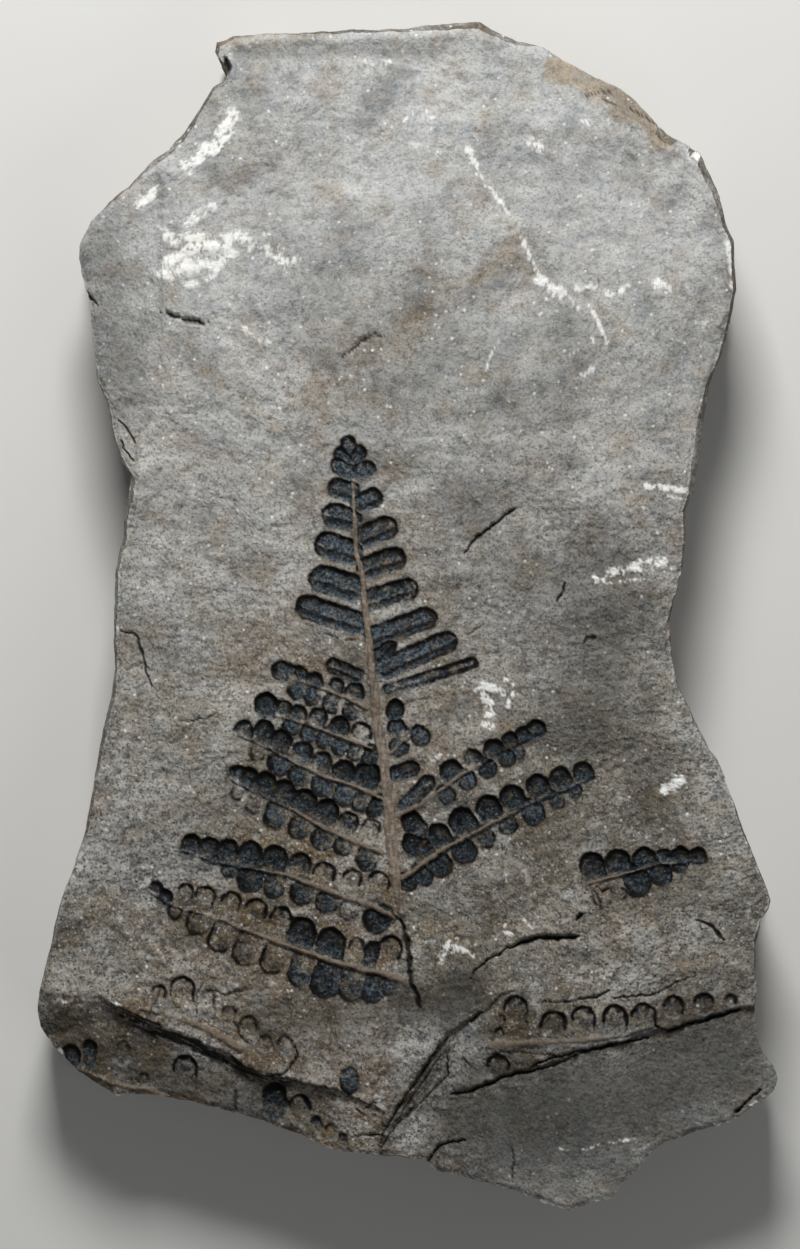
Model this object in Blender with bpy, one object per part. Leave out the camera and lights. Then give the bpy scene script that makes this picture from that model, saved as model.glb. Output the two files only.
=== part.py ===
"""Fossil fern plate: one slab of grey shale, split along its bedding, with a frond's print sunk in its face.

The slab lies on its back with the print facing up. Its length runs along Y, with the tip of the frond
towards +Y, its width along X and its thickness along Z. The underside lies on z = 0, and the origin is
under the middle of the slab. Everything is in metres.

The outline and the print are plotted on a survey sheet. One step of the sheet is PLATE_LENGTH / SHEET_LENGTH,
about an eighth of a millimetre. Steps run rightwards (x) and down from the top of the slab (y).
"""

import math

import bmesh
import bpy
import numpy as np

MM = 0.001

# Driving sizes.
PLATE_LENGTH = 150 * MM
PLATE_THICKNESS = 18 * MM
BED_HEIGHT = 17.0 * MM
GRID_CELL = 4.3 * MM
LEAFLET_DEPTH = 0.5 * MM
LEAFLET_CROWN = 0.28 * MM
RIB_RAISE = 0.25 * MM
RIB_RADIUS = 0.55 * MM
CRACK_WIDTH = 0.55 * MM
CRACK_DEPTH = 0.9 * MM
CLEAR = 4 * MM
WALL = 1.2

# The survey sheet: its length in steps, and the step that lies over the origin.
SHEET_LENGTH = 1198
SHEET_CENTRE = (406.5, 618)
STEP = PLATE_LENGTH / SHEET_LENGTH

# The broken outline, clockwise from the top left corner, in steps.
TOP_EDGE = (
    (216, 40), (232, 34), (262, 31), (300, 31), (340, 28), (380, 27), (410, 25), (440, 22), (465, 20), (481, 19),
    (492, 27), (515, 37), (545, 44), (567, 56), (592, 71), (622, 84), (637, 98), (652, 116), (668, 132),
    (690, 144), (702, 150), (711, 172), (722, 194), (728, 222), (735, 240), (736, 262), (738, 288),
)
RIGHT_EDGE = (
    (734, 312), (724, 350), (712, 382), (708, 405), (703, 440), (699, 475), (696, 492), (687, 508), (688, 540),
    (683, 575), (675, 608), (671, 624), (675, 655), (680, 685), (692, 711), (701, 729), (711, 750), (719, 760),
    (727, 780), (734, 800), (741, 820), (749, 840), (757, 859), (765, 880), (773, 902), (771, 911), (762, 920),
    (761, 932), (757, 945), (757, 970), (759, 986), (757, 1010), (758, 1040), (766, 1058), (775, 1067),
    (780, 1079), (777, 1092),
)
BOTTOM_EDGE = (
    (768, 1101), (745, 1116), (733, 1125), (695, 1138), (668, 1145), (654, 1153), (640, 1172), (624, 1186),
    (612, 1202), (590, 1207), (580, 1214), (571, 1217), (548, 1211), (520, 1197), (490, 1187), (450, 1176),
    (433, 1172), (427, 1162), (400, 1158), (368, 1157), (335, 1152), (300, 1141), (260, 1128), (220, 1118),
    (178, 1108), (142, 1102), (112, 1104), (98, 1093), (72, 1073), (50, 1052), (36, 1034), (33, 1015),
)
LEFT_EDGE = (
    (40, 985), (48, 950), (58, 905), (72, 868), (84, 830), (91, 785), (98, 745), (108, 700), (112, 670),
    (112, 610), (113, 568), (122, 535), (125, 500), (131, 474), (122, 464), (112, 436), (106, 404), (95, 380),
    (92, 345), (89, 305), (78, 266), (78, 244), (90, 220), (108, 200), (128, 184), (147, 163), (168, 146),
    (184, 130), (200, 104), (212, 84), (226, 76), (228, 66), (221, 57), (214, 50),
)
OUTLINE = TOP_EDGE + RIGHT_EDGE + BOTTOM_EDGE + LEFT_EDGE

# Strata of the broken edge, from the underside up: height in mm, mean set-back of the wall in mm.
STRATA = ((0, 3.4), (1.6, 1.5), (4.6, 1.9), (4.9, 1.0), (9.6, 1.5), (9.9, 0.7), (13.8, 0.9), (15.6, 0.0))
RIM_SETBACK = 1.3 * MM
SETBACK_WAVE = 0.55 * MM

# Broad swells and hollows of the face: centre and radii in steps, height in mm.
SWELLS = (
    (430, 330, 300, 250, 0.9),
    (200, 252, 62, 66, 0.55),
    (365, 1042, 80, 50, 0.4),
    (610, 690, 150, 190, -0.45),
    (240, 600, 120, 150, -0.3),
    (120, 900, 120, 160, -0.6),
    (720, 850, 90, 240, -0.6),
    (350, 40, 240, 50, -0.5),
    (600, 1140, 170, 70, -0.5),
)
WAVES = ((0.018, 0.031, 0.16), (0.043, -0.021, 0.1), (-0.012, 0.057, 0.1))

# Ledges: parts of the face that have spalled down to a lower plane. Each has its outline in steps, one step
# on its upper edge, the drop there in mm, and how steeply it falls away to the right and to the bottom.
LEDGES = (
    (
        "left_ledge",
        ((150, 140), (158, 194), (159, 230), (157, 280), (161, 313), (158, 350), (166, 389), (164, 426),
         (150, 424), (138, 440), (130, 484), (60, 484), (60, 140)),
        (157, 300), 0.5, -0.15, 0.0,
    ),
    (
        "foot_ledge",
        ((15, 1004), (48, 1017), (75, 1009), (103, 1005), (125, 1012), (147, 1021), (170, 1030), (192, 1038),
         (215, 1048), (233, 1058), (260, 1076), (288, 1080), (330, 1090), (384, 1112), (378, 1190), (15, 1190)),
        (175, 1032), 1.5, -0.035, 0.08,
    ),
    (
        "corner_bevel",
        ((478, 0), (490, 33), (520, 60), (545, 74), (575, 88), (600, 100), (640, 120), (665, 136), (704, 166),
         (740, 150), (740, 0)),
        (600, 100), 0.3, 0.42, -0.62,
    ),
    (
        "heel_plane",
        ((470, 1090), (490, 1083), (519, 1073), (541, 1066), (571, 1055), (622, 1043), (657, 1029), (668, 1031),
         (701, 1021), (740, 1008), (800, 1000), (800, 1235), (384, 1235), (390, 1160), (402, 1142), (420, 1119),
         (445, 1101)),
        (600, 1050), 0.7, 0.02, 0.05,
    ),
    (
        "cleft",
        ((519, 989), (493, 1000), (465, 1020), (446, 1038), (425, 1068), (405, 1098), (387, 1126), (378, 1152),
         (384, 1178), (394, 1178), (400, 1128), (415, 1108), (436, 1090), (448, 1076), (449, 1056), (453, 1042),
         (478, 1022), (503, 1003)),
        (430, 1070), 1.5, 0.0, 0.0,
    ),
)

# Open cracks, in steps from end to end.
CRACKS = (
    ((470, 978), (489, 959), (518, 944), (541, 938), (576, 937)),
    ((698, 920), (711, 925), (724, 940)),
    ((468, 549), (488, 528), (517, 508)),
    ((541, 1000), (577, 1001), (611, 992)),
)

# The frond's main rib, from its tip down, in steps.
RACHIS = (
    (350, 446), (353, 490), (356, 551), (363, 580), (368, 635), (374, 690), (379, 735), (386, 780),
    (391, 835), (394, 860), (399, 900), (401, 916),
)

# Undivided side leaves near the tip, and leaflets of broken fronds: both end centres and a radius, in steps.
TIP_LEAVES = (
    (350, 445, 349, 441, 6.5), (347, 456, 343, 450, 8.5), (354, 456, 357, 451, 7.5), (348, 470, 341, 465, 10.5),
    (358, 471, 367, 469, 9.5), (350, 492, 338, 488, 11), (361, 503, 372, 498, 11), (350, 519, 334, 515, 12.5),
    (366, 536, 386, 528, 12.5), (350, 552, 328, 545, 14), (369, 567, 394, 559, 12.5), (352, 588, 323, 579, 14.5),
    (372, 600, 407, 589, 12), (355, 623, 308, 607, 13), (374, 637, 426, 618, 11.5), (379, 655, 389, 646, 7),
    (357, 676, 334, 666, 8.5), (386, 668, 446, 642, 11.5), (388, 690, 472, 663, 6.5), (395, 712, 396, 708, 8),
    (397, 773, 412, 768, 7), (406, 806, 427, 783, 8.5),
)
SCRAPS = (
    (515, 1036, 515, 1008, 12.5), (503, 1020, 503, 1019, 5), (500, 1035, 500, 1033, 6),
    (553.5, 1034, 553.5, 1024, 14), (583.5, 1034, 583.5, 1018, 12.5), (615, 1028, 615, 1018, 13),
    (644, 1022, 644, 1016, 13), (673.5, 1008, 673.5, 1007, 11.5), (704, 1006, 704, 1003, 10.5),
    (731.5, 1001, 731, 1000, 6.5), (497.5, 1070, 497.5, 1067, 12.5), (69.5, 1062, 69.5, 1056, 9),
    (88.5, 1066, 88.5, 1048, 6), (122, 1060, 122, 1050, 8), (143, 1082, 143, 1079, 5),
    (184.5, 1098, 184.5, 1068, 12.5), (274.5, 1110, 274.5, 1096, 11.5), (299.5, 1114, 299.5, 1106, 11.5),
    (349, 1076, 350, 1084, 10), (158, 1003, 159, 992, 8), (182, 1003, 182, 989, 13), (206, 1010, 208, 997, 8),
    (228, 1024, 229, 1013, 8), (249, 1036, 248, 1025, 10), (266, 1046, 265, 1042, 8), (286, 1047, 285, 1044, 9),
    (318, 1127, 316, 1122, 6), (332, 1136, 330, 1130, 6), (344, 1144, 342, 1138, 5),
)

# Side leaves with leaflets: the midrib from the main rib out, then the leaflets above and below it, each as the
# centre of its round end and a radius, in steps.
PINNAE = (
    (
        ((366, 708), (344, 697), (323, 689), (300, 681)),
        ((282, 671, 11), (298, 676, 11), (314, 682, 10.5), (336, 686, 8.5), (355, 692, 10.5)),
        ((297, 690, 10), (312, 697, 9.5), (331, 705, 9.5), (351, 712, 9.5)),
    ),
    (
        ((372, 748), (344, 738), (323, 730), (303, 723), (270, 714)),
        ((266, 705, 11.5), (283, 710, 10.5), (298, 714, 10), (318, 717, 10), (340, 726, 9.5), (361, 733, 11.5)),
        ((291, 726, 9.5), (309, 734, 9.5), (324, 740, 9.5), (340, 747, 9.5), (355, 753, 9), (369, 759, 8)),
    ),
    (
        ((380, 798), (365, 790), (345, 783), (325, 777), (300, 765), (262, 745), (238, 735)),
        ((244, 730, 10.5), (264, 729, 9), (281, 740, 10.5), (303, 751, 10.5), (322, 762, 11), (344, 772, 11),
         (367, 775, 13)),
        ((257, 754, 8.5), (279, 764, 12.5), (299, 775, 12), (322, 786, 12), (344, 796, 11.5), (360, 803, 10),
         (374, 809, 8)),
    ),
    (
        ((382, 852), (355, 842), (325, 828), (310, 820), (290, 808), (250, 790), (232, 780)),
        ((238, 775, 10.5), (249, 778, 10), (266, 782, 9.5), (284, 791, 10.5), (305, 801, 11.5), (327, 811, 11.5),
         (348, 822, 11), (371, 828, 10.5)),
        ((237, 794, 7.5), (253, 807, 8.5), (275, 817, 12), (299, 828, 12), (322, 839, 12), (343, 846, 10.5),
         (367, 860, 12)),
    ),
    (
        ((395, 917), (370, 905), (350, 899), (310, 884), (290, 876), (260, 870), (215, 862), (184, 851)),
        ((191, 845, 9.5), (210, 847, 9), (228, 850, 10), (250, 853, 11.5), (275, 858, 12), (300, 864, 12),
         (324, 874, 12.5), (352, 879, 10.5), (378, 883, 12.5)),
        ((213, 860, 9), (230, 869, 9.5), (250, 880, 12.5), (274, 888, 11.5), (302, 893, 13), (327, 902, 12.5),
         (349, 911, 11), (377, 919, 13.5)),
    ),
    (
        ((404, 980), (380, 973), (350, 966), (320, 957), (280, 943), (240, 928), (222, 920), (170, 905), (150, 893)),
        ((156, 889, 8), (164, 898, 8), (186, 892, 9), (205, 896, 11), (231, 902, 11), (256, 910, 12),
         (281, 918, 12), (302, 932, 14), (331, 943, 14.5), (357, 946, 9), (374, 951, 9), (390, 948, 13)),
        ((175, 912, 8.5), (198, 923, 13), (220, 940, 13), (245, 953, 13.5), (272, 962, 13), (300, 974, 13.5),
         (325, 983, 14.5), (352, 988, 14.5), (372, 990, 12), (388, 986, 10)),
    ),
    (
        ((386, 757), (400, 744), (428, 722)),
        ((396, 727, 9.5),),
        ((399, 747, 10.5), (421, 737, 10)),
    ),
    (
        ((398, 815), (420, 805), (430, 797), (445, 787), (460, 775), (480, 765), (500, 752), (540, 732)),
        ((451, 771, 10.5), (473, 759, 10.5), (494, 750, 10), (512, 742, 9.5), (524, 736, 9), (536, 730, 9.5)),
        ((447, 796, 9), (468, 781, 9.5), (488, 769, 8.5), (507, 758, 8.5), (519, 753, 7)),
    ),
    (
        ((402, 878), (420, 866), (440, 851), (455, 843), (475, 832), (500, 819), (530, 803), (550, 796), (570, 788),
         (596, 775)),
        ((411, 821, 10), (416, 844, 13), (438, 835, 11), (462, 821, 12.5), (488, 808, 12), (512, 797, 11.5),
         (538, 786, 11), (560, 777, 10), (583, 772, 9.5)),
        ((408, 882, 8.5), (424, 877, 9), (441, 866, 11), (465, 852, 11.5), (488, 840, 9), (508, 825, 10.5),
         (534, 814, 12), (557, 801, 9), (575, 791, 8)),
    ),
    (
        ((586, 884), (611, 877), (637, 870), (660, 864), (704, 862)),
        ((592, 865, 12), (618, 862, 12), (644, 859, 11), (664, 857, 9), (681, 857, 9.5), (698, 857, 8.5)),
        ((637, 883, 13.5), (661, 875, 11), (680, 866, 8)),
    ),
)


def place(points):
    """Steps of the survey sheet to metres on the slab."""
    points = np.asarray(points, float)
    return (points - SHEET_CENTRE) * (STEP, -STEP)


def bed(x, y):
    """Height of the unbroken face over a step of the sheet: the bed, its swells and its long waves."""
    height = np.full(np.shape(x), BED_HEIGHT)
    for middle_x, middle_y, radius_x, radius_y, rise in SWELLS:
        far = ((x - middle_x) / radius_x) ** 2 + ((y - middle_y) / radius_y) ** 2
        height = height + rise * MM * np.exp(-far)
    for along_x, along_y, rise in WAVES:
        height = height + rise * MM * np.sin(along_x * x + along_y * y)
    return np.minimum(height, PLATE_THICKNESS)


def ledge_floor(ledge, x, y):
    """Height of a ledge's plane over a step of the sheet."""
    _, _, (edge_x, edge_y), drop, fall_right, fall_down = ledge
    start = bed(float(edge_x), float(edge_y)) - drop * MM
    return start - ((x - edge_x) * fall_right + (y - edge_y) * fall_down) * STEP


def inside(corners, x, y):
    """Whether a step lies inside an outline, by counting the sides that a ray to the right crosses."""
    crossings = 0
    for (ax, ay), (bx, by) in zip(corners, corners[1:] + corners[:1]):
        if (ay > y) != (by > y) and x < ax + (y - ay) * (bx - ax) / (by - ay):
            crossings += 1
    return crossings % 2 == 1


def face_height(x, y):
    """Height of the finished face: the bed, or the ledge that has spalled below it."""
    height = float(bed(x, y))
    for ledge in LEDGES:
        if inside(ledge[1], x, y):
            height = min(height, float(ledge_floor(ledge, x, y)))
    return height


def new_collection(name):
    collection = bpy.data.collections.new(name)
    bpy.context.scene.collection.children.link(collection)
    return collection


def add_object(name, mesh, collection):
    obj = bpy.data.objects.new(name, mesh)
    collection.objects.link(obj)
    return obj


def add_cutter(name, form, collection):
    """Turns a closed form into a wire-drawn helper that Booleans use and a render leaves out."""
    bmesh.ops.recalc_face_normals(form, faces=form.faces)
    mesh = bpy.data.meshes.new(name)
    form.to_mesh(mesh)
    form.free()
    cutter = add_object(name, mesh, collection)
    cutter.hide_render = True
    cutter.display_type = "WIRE"
    return cutter


def add_prism(form, floor, top):
    """A closed prism between two rings of the same number of corners."""
    low = [form.verts.new(point) for point in floor]
    high = [form.verts.new(point) for point in top]
    form.faces.new(low)
    form.faces.new(high)
    count = len(low)
    for i in range(count):
        form.faces.new((low[i], low[(i + 1) % count], high[(i + 1) % count], high[i]))


def inward(points):
    """For each corner of the outline, the unit way towards the calmed outline further in."""
    calm = points.copy()
    for _ in range(14):
        calm = (np.roll(calm, 1, axis=0) + 2 * calm + np.roll(calm, -1, axis=0)) / 4
    calm *= 0.86
    way = calm - points
    return way / np.linalg.norm(way, axis=1, keepdims=True)


def slab_form():
    """The slab's sides: the outline's face, extruded up stratum by stratum and set back in each."""
    points = place(OUTLINE)
    way = inward(points)
    turn = np.linspace(0, 2 * math.pi, len(points), endpoint=False)
    form = bmesh.new()
    ring = [form.verts.new((x, y, 0)) for x, y in points]
    face = form.faces.new(ring)
    heights = [(height * MM, mean * MM) for height, mean in STRATA]
    heights.append((PLATE_THICKNESS + CLEAR / 2, RIM_SETBACK * 2))
    for layer, (height, mean) in enumerate(heights):
        wave = np.sin(turn * (7 + layer // 2) + layer // 2) + np.sin(turn * (17 - layer // 2) + 2 * (layer // 2))
        setback = np.clip(mean + SETBACK_WAVE * wave * min(mean / MM, 1), 0, None)
        spots = points + way * setback[:, None]
        for vertex, (x, y) in zip(ring, spots):
            vertex.co = (x, y, height)
        if layer < len(heights) - 1:
            below = face
            made = bmesh.ops.extrude_face_region(form, geom=[below], use_keep_orig=True)["geom"]
            face = next(item for item in made if isinstance(item, bmesh.types.BMFace))
            ring = ordered(face, ring)
            if layer > 0:
                bmesh.ops.delete(form, geom=[below], context="FACES_ONLY")
    return form


def ordered(face, ring):
    """The new face's corners in the order of the ring that it was extruded from."""
    spots = {tuple(vertex.co): vertex for vertex in face.verts}
    return [spots[tuple(vertex.co)] for vertex in ring]


def bed_form():
    """The rock under the face: a gridded sheet that follows the bed, extruded down past the underside."""
    low, high = place((SHEET_CENTRE[0] - 400, SHEET_CENTRE[1] + 625)), place((SHEET_CENTRE[0] + 400, -7))
    counts = np.ceil((high - low) / GRID_CELL).astype(int)
    form = bmesh.new()
    bmesh.ops.create_grid(form, x_segments=counts[0], y_segments=counts[1], size=0.5)
    for vertex in form.verts:
        spot = low + (high - low) * (np.array(vertex.co[:2]) + 0.5)
        step_x, step_y = spot / (STEP, -STEP) + SHEET_CENTRE
        vertex.co = (*spot, bed(step_x, step_y))
    made = bmesh.ops.extrude_face_region(form, geom=form.faces[:])["geom"]
    for item in made:
        if isinstance(item, bmesh.types.BMVert):
            item.co.z = -CLEAR
    return form


def ledge_form(ledge):
    """A block whose sloping floor is the ledge's plane."""
    corners = place(ledge[1])
    form = bmesh.new()
    floor = [(x, y, float(ledge_floor(ledge, *step))) for (x, y), step in zip(corners, ledge[1])]
    top = [(x, y, PLATE_THICKNESS + CLEAR) for x, y in corners]
    add_prism(form, floor, top)
    return form


def crack_form(steps):
    """A wedge along a crack, open at the face and closing to a line below it."""
    points = place(steps)
    form = bmesh.new()
    along = np.gradient(points, axis=0)
    across = np.stack([-along[:, 1], along[:, 0]], axis=1)
    across *= (CRACK_WIDTH / 2 / np.linalg.norm(across, axis=1))[:, None]
    sections = []
    for i, (spot, side) in enumerate(zip(points, across)):
        width = 0.25 if i in (0, len(points) - 1) else 1
        height = face_height(*steps[i])
        sections.append([
            form.verts.new((*(spot + side * width), height + CRACK_DEPTH)),
            form.verts.new((*(spot - side * width), height + CRACK_DEPTH)),
            form.verts.new((*(spot - side * width * 0.8), height - CRACK_DEPTH * width)),
            form.verts.new((*(spot + side * width * 0.5), height - CRACK_DEPTH * width)),
        ])
    form.faces.new(sections[0])
    form.faces.new(sections[-1])
    for near, far in zip(sections, sections[1:]):
        for i in range(4):
            form.faces.new((near[i], near[(i + 1) % 4], far[(i + 1) % 4], far[i]))
    return form


def nearest_on(rib, spot):
    """The point of a midrib that lies nearest to a spot, in steps."""
    best = None
    for start, end in zip(np.array(rib[:-1], float), np.array(rib[1:], float)):
        run = end - start
        share = np.clip(np.dot(spot - start, run) / np.dot(run, run), 0, 1)
        found = start + share * run
        if best is None or np.linalg.norm(spot - found) < np.linalg.norm(spot - best):
            best = found
    return best


def leaflet_of(rib, x, y, radius):
    """A leaflet from its round end back towards its midrib: both end centres and the radius."""
    tip = np.array((x, y), float)
    back = nearest_on(rib, tip) - tip
    reach = np.linalg.norm(back)
    length = np.clip(reach - radius - 1.5, 0, radius)
    return (*(tip + back / max(reach, 1) * length), x, y, radius)


def all_leaflets():
    """Every leaflet, with radii trimmed so that a wall of WALL steps stays between neighbours."""
    leaflets = list(TIP_LEAVES + SCRAPS)
    for rib, above, below in PINNAE:
        leaflets += [leaflet_of(rib, *leaflet) for leaflet in above + below]
    leaflets = np.array(leaflets, float)
    share = np.linspace(0, 1, 7)[:, None]
    spines = leaflets[:, None, 0:2] * (1 - share) + leaflets[:, None, 2:4] * share
    trimmed = leaflets.copy()
    for i, (spine, leaflet) in enumerate(zip(spines, leaflets)):
        apart = np.linalg.norm(spines[:, :, None] - spine[None, None], axis=3).min(axis=(1, 2))
        apart[i] = 1000
        room = (apart - WALL) * leaflet[4] / (leaflet[4] + leaflets[:, 4])
        trimmed[i, 4] = min(leaflet[4], room.min())
    return trimmed


def add_leaflet(form, leaflet):
    """A six-sided pocket with a crowned floor, as deep as the leaflet is sunk."""
    base, tip, radius = np.array(leaflet[:2]), np.array(leaflet[2:4]), leaflet[4]
    run = tip - base
    run = run / np.linalg.norm(run) if np.linalg.norm(run) > 0 else np.array((0.0, -1.0))
    side = np.array((-run[1], run[0]))
    middle = (base + tip) / 2
    corners = [
        tip + radius * (0.8 * run + 0.5 * side), middle + radius * side, base - radius * (0.8 * run - 0.5 * side),
        base - radius * (0.8 * run + 0.5 * side), middle - radius * side, tip + radius * (0.8 * run - 0.5 * side),
    ]
    heights = [face_height(*corner) - LEAFLET_DEPTH for corner in corners]
    low = [form.verts.new((*place(corner), height)) for corner, height in zip(corners, heights)]
    high = [form.verts.new((*place(corner), PLATE_THICKNESS + CLEAR / 4)) for corner in corners]
    crown = form.verts.new((*place(middle), face_height(*middle) - LEAFLET_DEPTH + LEAFLET_CROWN))
    form.faces.new(high)
    for i in range(6):
        form.faces.new((low[i], low[(i + 1) % 6], high[(i + 1) % 6], high[i]))
        form.faces.new((low[i], low[(i + 1) % 6], crown))


def leaflets_form():
    form = bmesh.new()
    for leaflet in all_leaflets():
        add_leaflet(form, leaflet)
    return form


def rib_tube(collection):
    """The main rib as a thin tube half sunk in the face, with its ends drawn out."""
    curve = bpy.data.curves.new("rib_tube", "CURVE")
    curve.dimensions = "3D"
    curve.bevel_depth = RIB_RADIUS
    curve.bevel_resolution = 1
    curve.use_fill_caps = True
    spline = curve.splines.new("POLY")
    spline.points.add(len(RACHIS) - 1)
    for i, (point, step) in enumerate(zip(spline.points, RACHIS)):
        share = i / (len(RACHIS) - 1)
        point.radius = 0.45 + 0.55 * math.sin(math.pi * min(share * 1.1, 0.85))
        height = face_height(*step) + RIB_RAISE - RIB_RADIUS * point.radius
        point.co = (*place(step), height, 1)
    guide = add_object("rib_guide", curve, collection)
    graph = bpy.context.evaluated_depsgraph_get()
    mesh = bpy.data.meshes.new_from_object(guide.evaluated_get(graph))
    form = bmesh.new()
    form.from_mesh(mesh)
    bmesh.ops.remove_doubles(form, verts=form.verts, dist=0.00001)
    bpy.data.objects.remove(guide)
    return form


def shale():
    """Dark grey shale: dull, with no metal in it."""
    material = bpy.data.materials.new("shale")
    material.use_nodes = True
    surface = material.node_tree.nodes["Principled BSDF"]
    surface.inputs["Base Color"].default_value = (0.2, 0.19, 0.17, 1)
    surface.inputs["Roughness"].default_value = 0.8
    surface.inputs["Metallic"].default_value = 0
    return material


def cut(slab, cutter, operation, meets_itself=False):
    boolean = slab.modifiers.new(cutter.name, "BOOLEAN")
    boolean.operation = operation
    boolean.object = cutter
    boolean.use_self = meets_itself


def main():
    for obj in list(bpy.data.objects):
        bpy.data.objects.remove(obj)
    parts = new_collection("fossil_fern_plate")
    helpers = new_collection("cutters")

    form = slab_form()
    bmesh.ops.recalc_face_normals(form, faces=form.faces)
    mesh = bpy.data.meshes.new("shale_plate")
    form.to_mesh(mesh)
    form.free()
    slab = add_object("shale_plate", mesh, parts)
    mesh.materials.append(shale())

    cut(slab, add_cutter("bed", bed_form(), helpers), "INTERSECT")
    for ledge in LEDGES:
        cut(slab, add_cutter(ledge[0], ledge_form(ledge), helpers), "DIFFERENCE")
    cut(slab, add_cutter("rib", rib_tube(helpers), helpers), "UNION")
    for number, steps in enumerate(CRACKS, 1):
        cut(slab, add_cutter(f"crack_{number}", crack_form(steps), helpers), "DIFFERENCE")
    cut(slab, add_cutter("leaflets", leaflets_form(), helpers), "DIFFERENCE", meets_itself=True)


main()
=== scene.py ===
"""Dresses the fossil fern plate: a slab of grey shale with a fern frond pressed into its split face.

The slab is one stone, so one shell is worked out for all of it: the split face, the broken edge all round and
the underside. The shell is a sleeve of rows that run across the slab, closed by a wall at each end, and it is
shared out between five bands, which keep their borders in common.

The outline and the print are plotted on a survey sheet, in steps of about an eighth of a millimetre that run
rightwards (x) and down from the slab's top (y). Everything else is in metres, in the frame of the CAD model:
+Z out of the face, +Y towards the tip of the frond.
"""

import logging
import math
from collections.abc import Mapping, Sequence
from dataclasses import dataclass, field
from enum import Enum
from functools import partial

import bpy
import numpy as np
import numpy.typing as npt
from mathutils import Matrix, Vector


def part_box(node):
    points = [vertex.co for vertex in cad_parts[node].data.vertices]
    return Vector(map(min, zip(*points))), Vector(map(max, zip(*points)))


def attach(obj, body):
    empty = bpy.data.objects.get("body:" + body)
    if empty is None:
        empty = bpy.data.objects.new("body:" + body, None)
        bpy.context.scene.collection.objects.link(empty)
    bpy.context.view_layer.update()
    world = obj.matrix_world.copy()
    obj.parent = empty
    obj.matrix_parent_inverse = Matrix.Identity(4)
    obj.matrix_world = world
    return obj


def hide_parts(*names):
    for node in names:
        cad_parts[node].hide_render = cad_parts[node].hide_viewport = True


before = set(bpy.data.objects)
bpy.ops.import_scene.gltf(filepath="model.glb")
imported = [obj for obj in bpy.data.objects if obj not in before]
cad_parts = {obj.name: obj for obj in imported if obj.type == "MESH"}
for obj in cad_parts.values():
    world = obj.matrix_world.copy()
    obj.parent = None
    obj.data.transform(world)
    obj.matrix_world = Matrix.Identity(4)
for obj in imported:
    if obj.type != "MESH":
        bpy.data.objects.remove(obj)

Numbers = npt.NDArray[np.float64]
Places = npt.NDArray[np.int64]
Spot = tuple[float, float]
Stroke = tuple[float, float, tuple[Spot, ...]]
Fields = dict[str, Numbers]
Window = tuple[float, float, float, float]

LOG = logging.getLogger("fern_plate")
NODE = "shale_plate"
MM = 0.001

# The broken outline, clockwise from the top left corner, in steps, in the four sides of the face's grid.
TOP_SIDE: tuple[Spot, ...] = (
    (216, 40), (232, 34), (262, 31), (300, 31), (340, 28), (380, 27), (410, 25), (440, 22), (465, 20), (481, 19),
    (492, 27), (515, 37), (545, 44), (567, 56), (592, 71), (622, 84), (637, 98), (652, 116), (668, 132),
    (690, 144), (702, 150),
)
RIGHT_SIDE: tuple[Spot, ...] = (
    (702, 150), (711, 172), (722, 194), (728, 222), (735, 240), (736, 262), (738, 288),
    (734, 312), (724, 350), (712, 382), (708, 405), (703, 440), (699, 475), (696, 492), (687, 508), (688, 540),
    (683, 575), (675, 608), (671, 624), (675, 655), (680, 685), (692, 711), (701, 729), (711, 750), (719, 760),
    (727, 780), (734, 800), (741, 820), (749, 840), (757, 859), (765, 880), (773, 902), (771, 911), (762, 920),
    (761, 932), (757, 945), (757, 970), (759, 986), (757, 1010), (758, 1040), (766, 1058), (775, 1067),
    (780, 1079),
)
BOTTOM_SIDE: tuple[Spot, ...] = (
    (780, 1079), (777, 1092), (768, 1101), (745, 1116), (733, 1125), (695, 1138), (668, 1145), (654, 1153),
    (640, 1172), (624, 1186), (612, 1202), (590, 1207), (580, 1214), (571, 1217), (548, 1211), (520, 1197),
    (490, 1187), (450, 1176), (433, 1172), (427, 1162), (400, 1158), (368, 1157), (335, 1152), (300, 1141),
    (260, 1128), (220, 1118), (178, 1108), (142, 1102), (112, 1104), (98, 1093), (72, 1073), (50, 1052),
    (36, 1034), (33, 1015),
)
LEFT_SIDE: tuple[Spot, ...] = (
    (33, 1015), (40, 985), (48, 950), (58, 905), (72, 868), (84, 830), (91, 785), (98, 745), (108, 700),
    (112, 670), (112, 610), (113, 568), (122, 535), (125, 500), (131, 474), (122, 464), (112, 436), (106, 404),
    (95, 380), (92, 345), (89, 305), (78, 266), (78, 244), (90, 220), (108, 200), (128, 184), (147, 163),
    (168, 146), (184, 130), (200, 104), (212, 84), (226, 76), (228, 66), (221, 57), (214, 50), (216, 40),
)

# Strata of the broken edge, from the underside up: height in mm, mean set-back of the wall in mm.
STRATA = ((0, 3.4), (1.6, 1.5), (4.6, 1.9), (4.9, 1.0), (9.6, 1.5), (9.9, 0.7), (13.8, 0.9), (15.6, 0.0), (20, 2.6))

# Broad swells and hollows of the face: centre and radii in steps, height in mm. Its long waves: radians a step
# along x and along y, height in mm.
SWELLS = (
    (430, 330, 300, 250, 0.9),
    (200, 252, 62, 66, 0.55),
    (365, 1042, 80, 50, 0.4),
    (610, 690, 150, 190, -0.45),
    (240, 600, 120, 150, -0.3),
    (120, 900, 120, 160, -0.6),
    (720, 850, 90, 240, -0.6),
    (350, 40, 240, 50, -0.5),
    (600, 1140, 170, 70, -0.5),
)
WAVES = ((0.018, 0.031, 0.16), (0.043, -0.021, 0.1), (-0.012, 0.057, 0.1))


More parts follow.
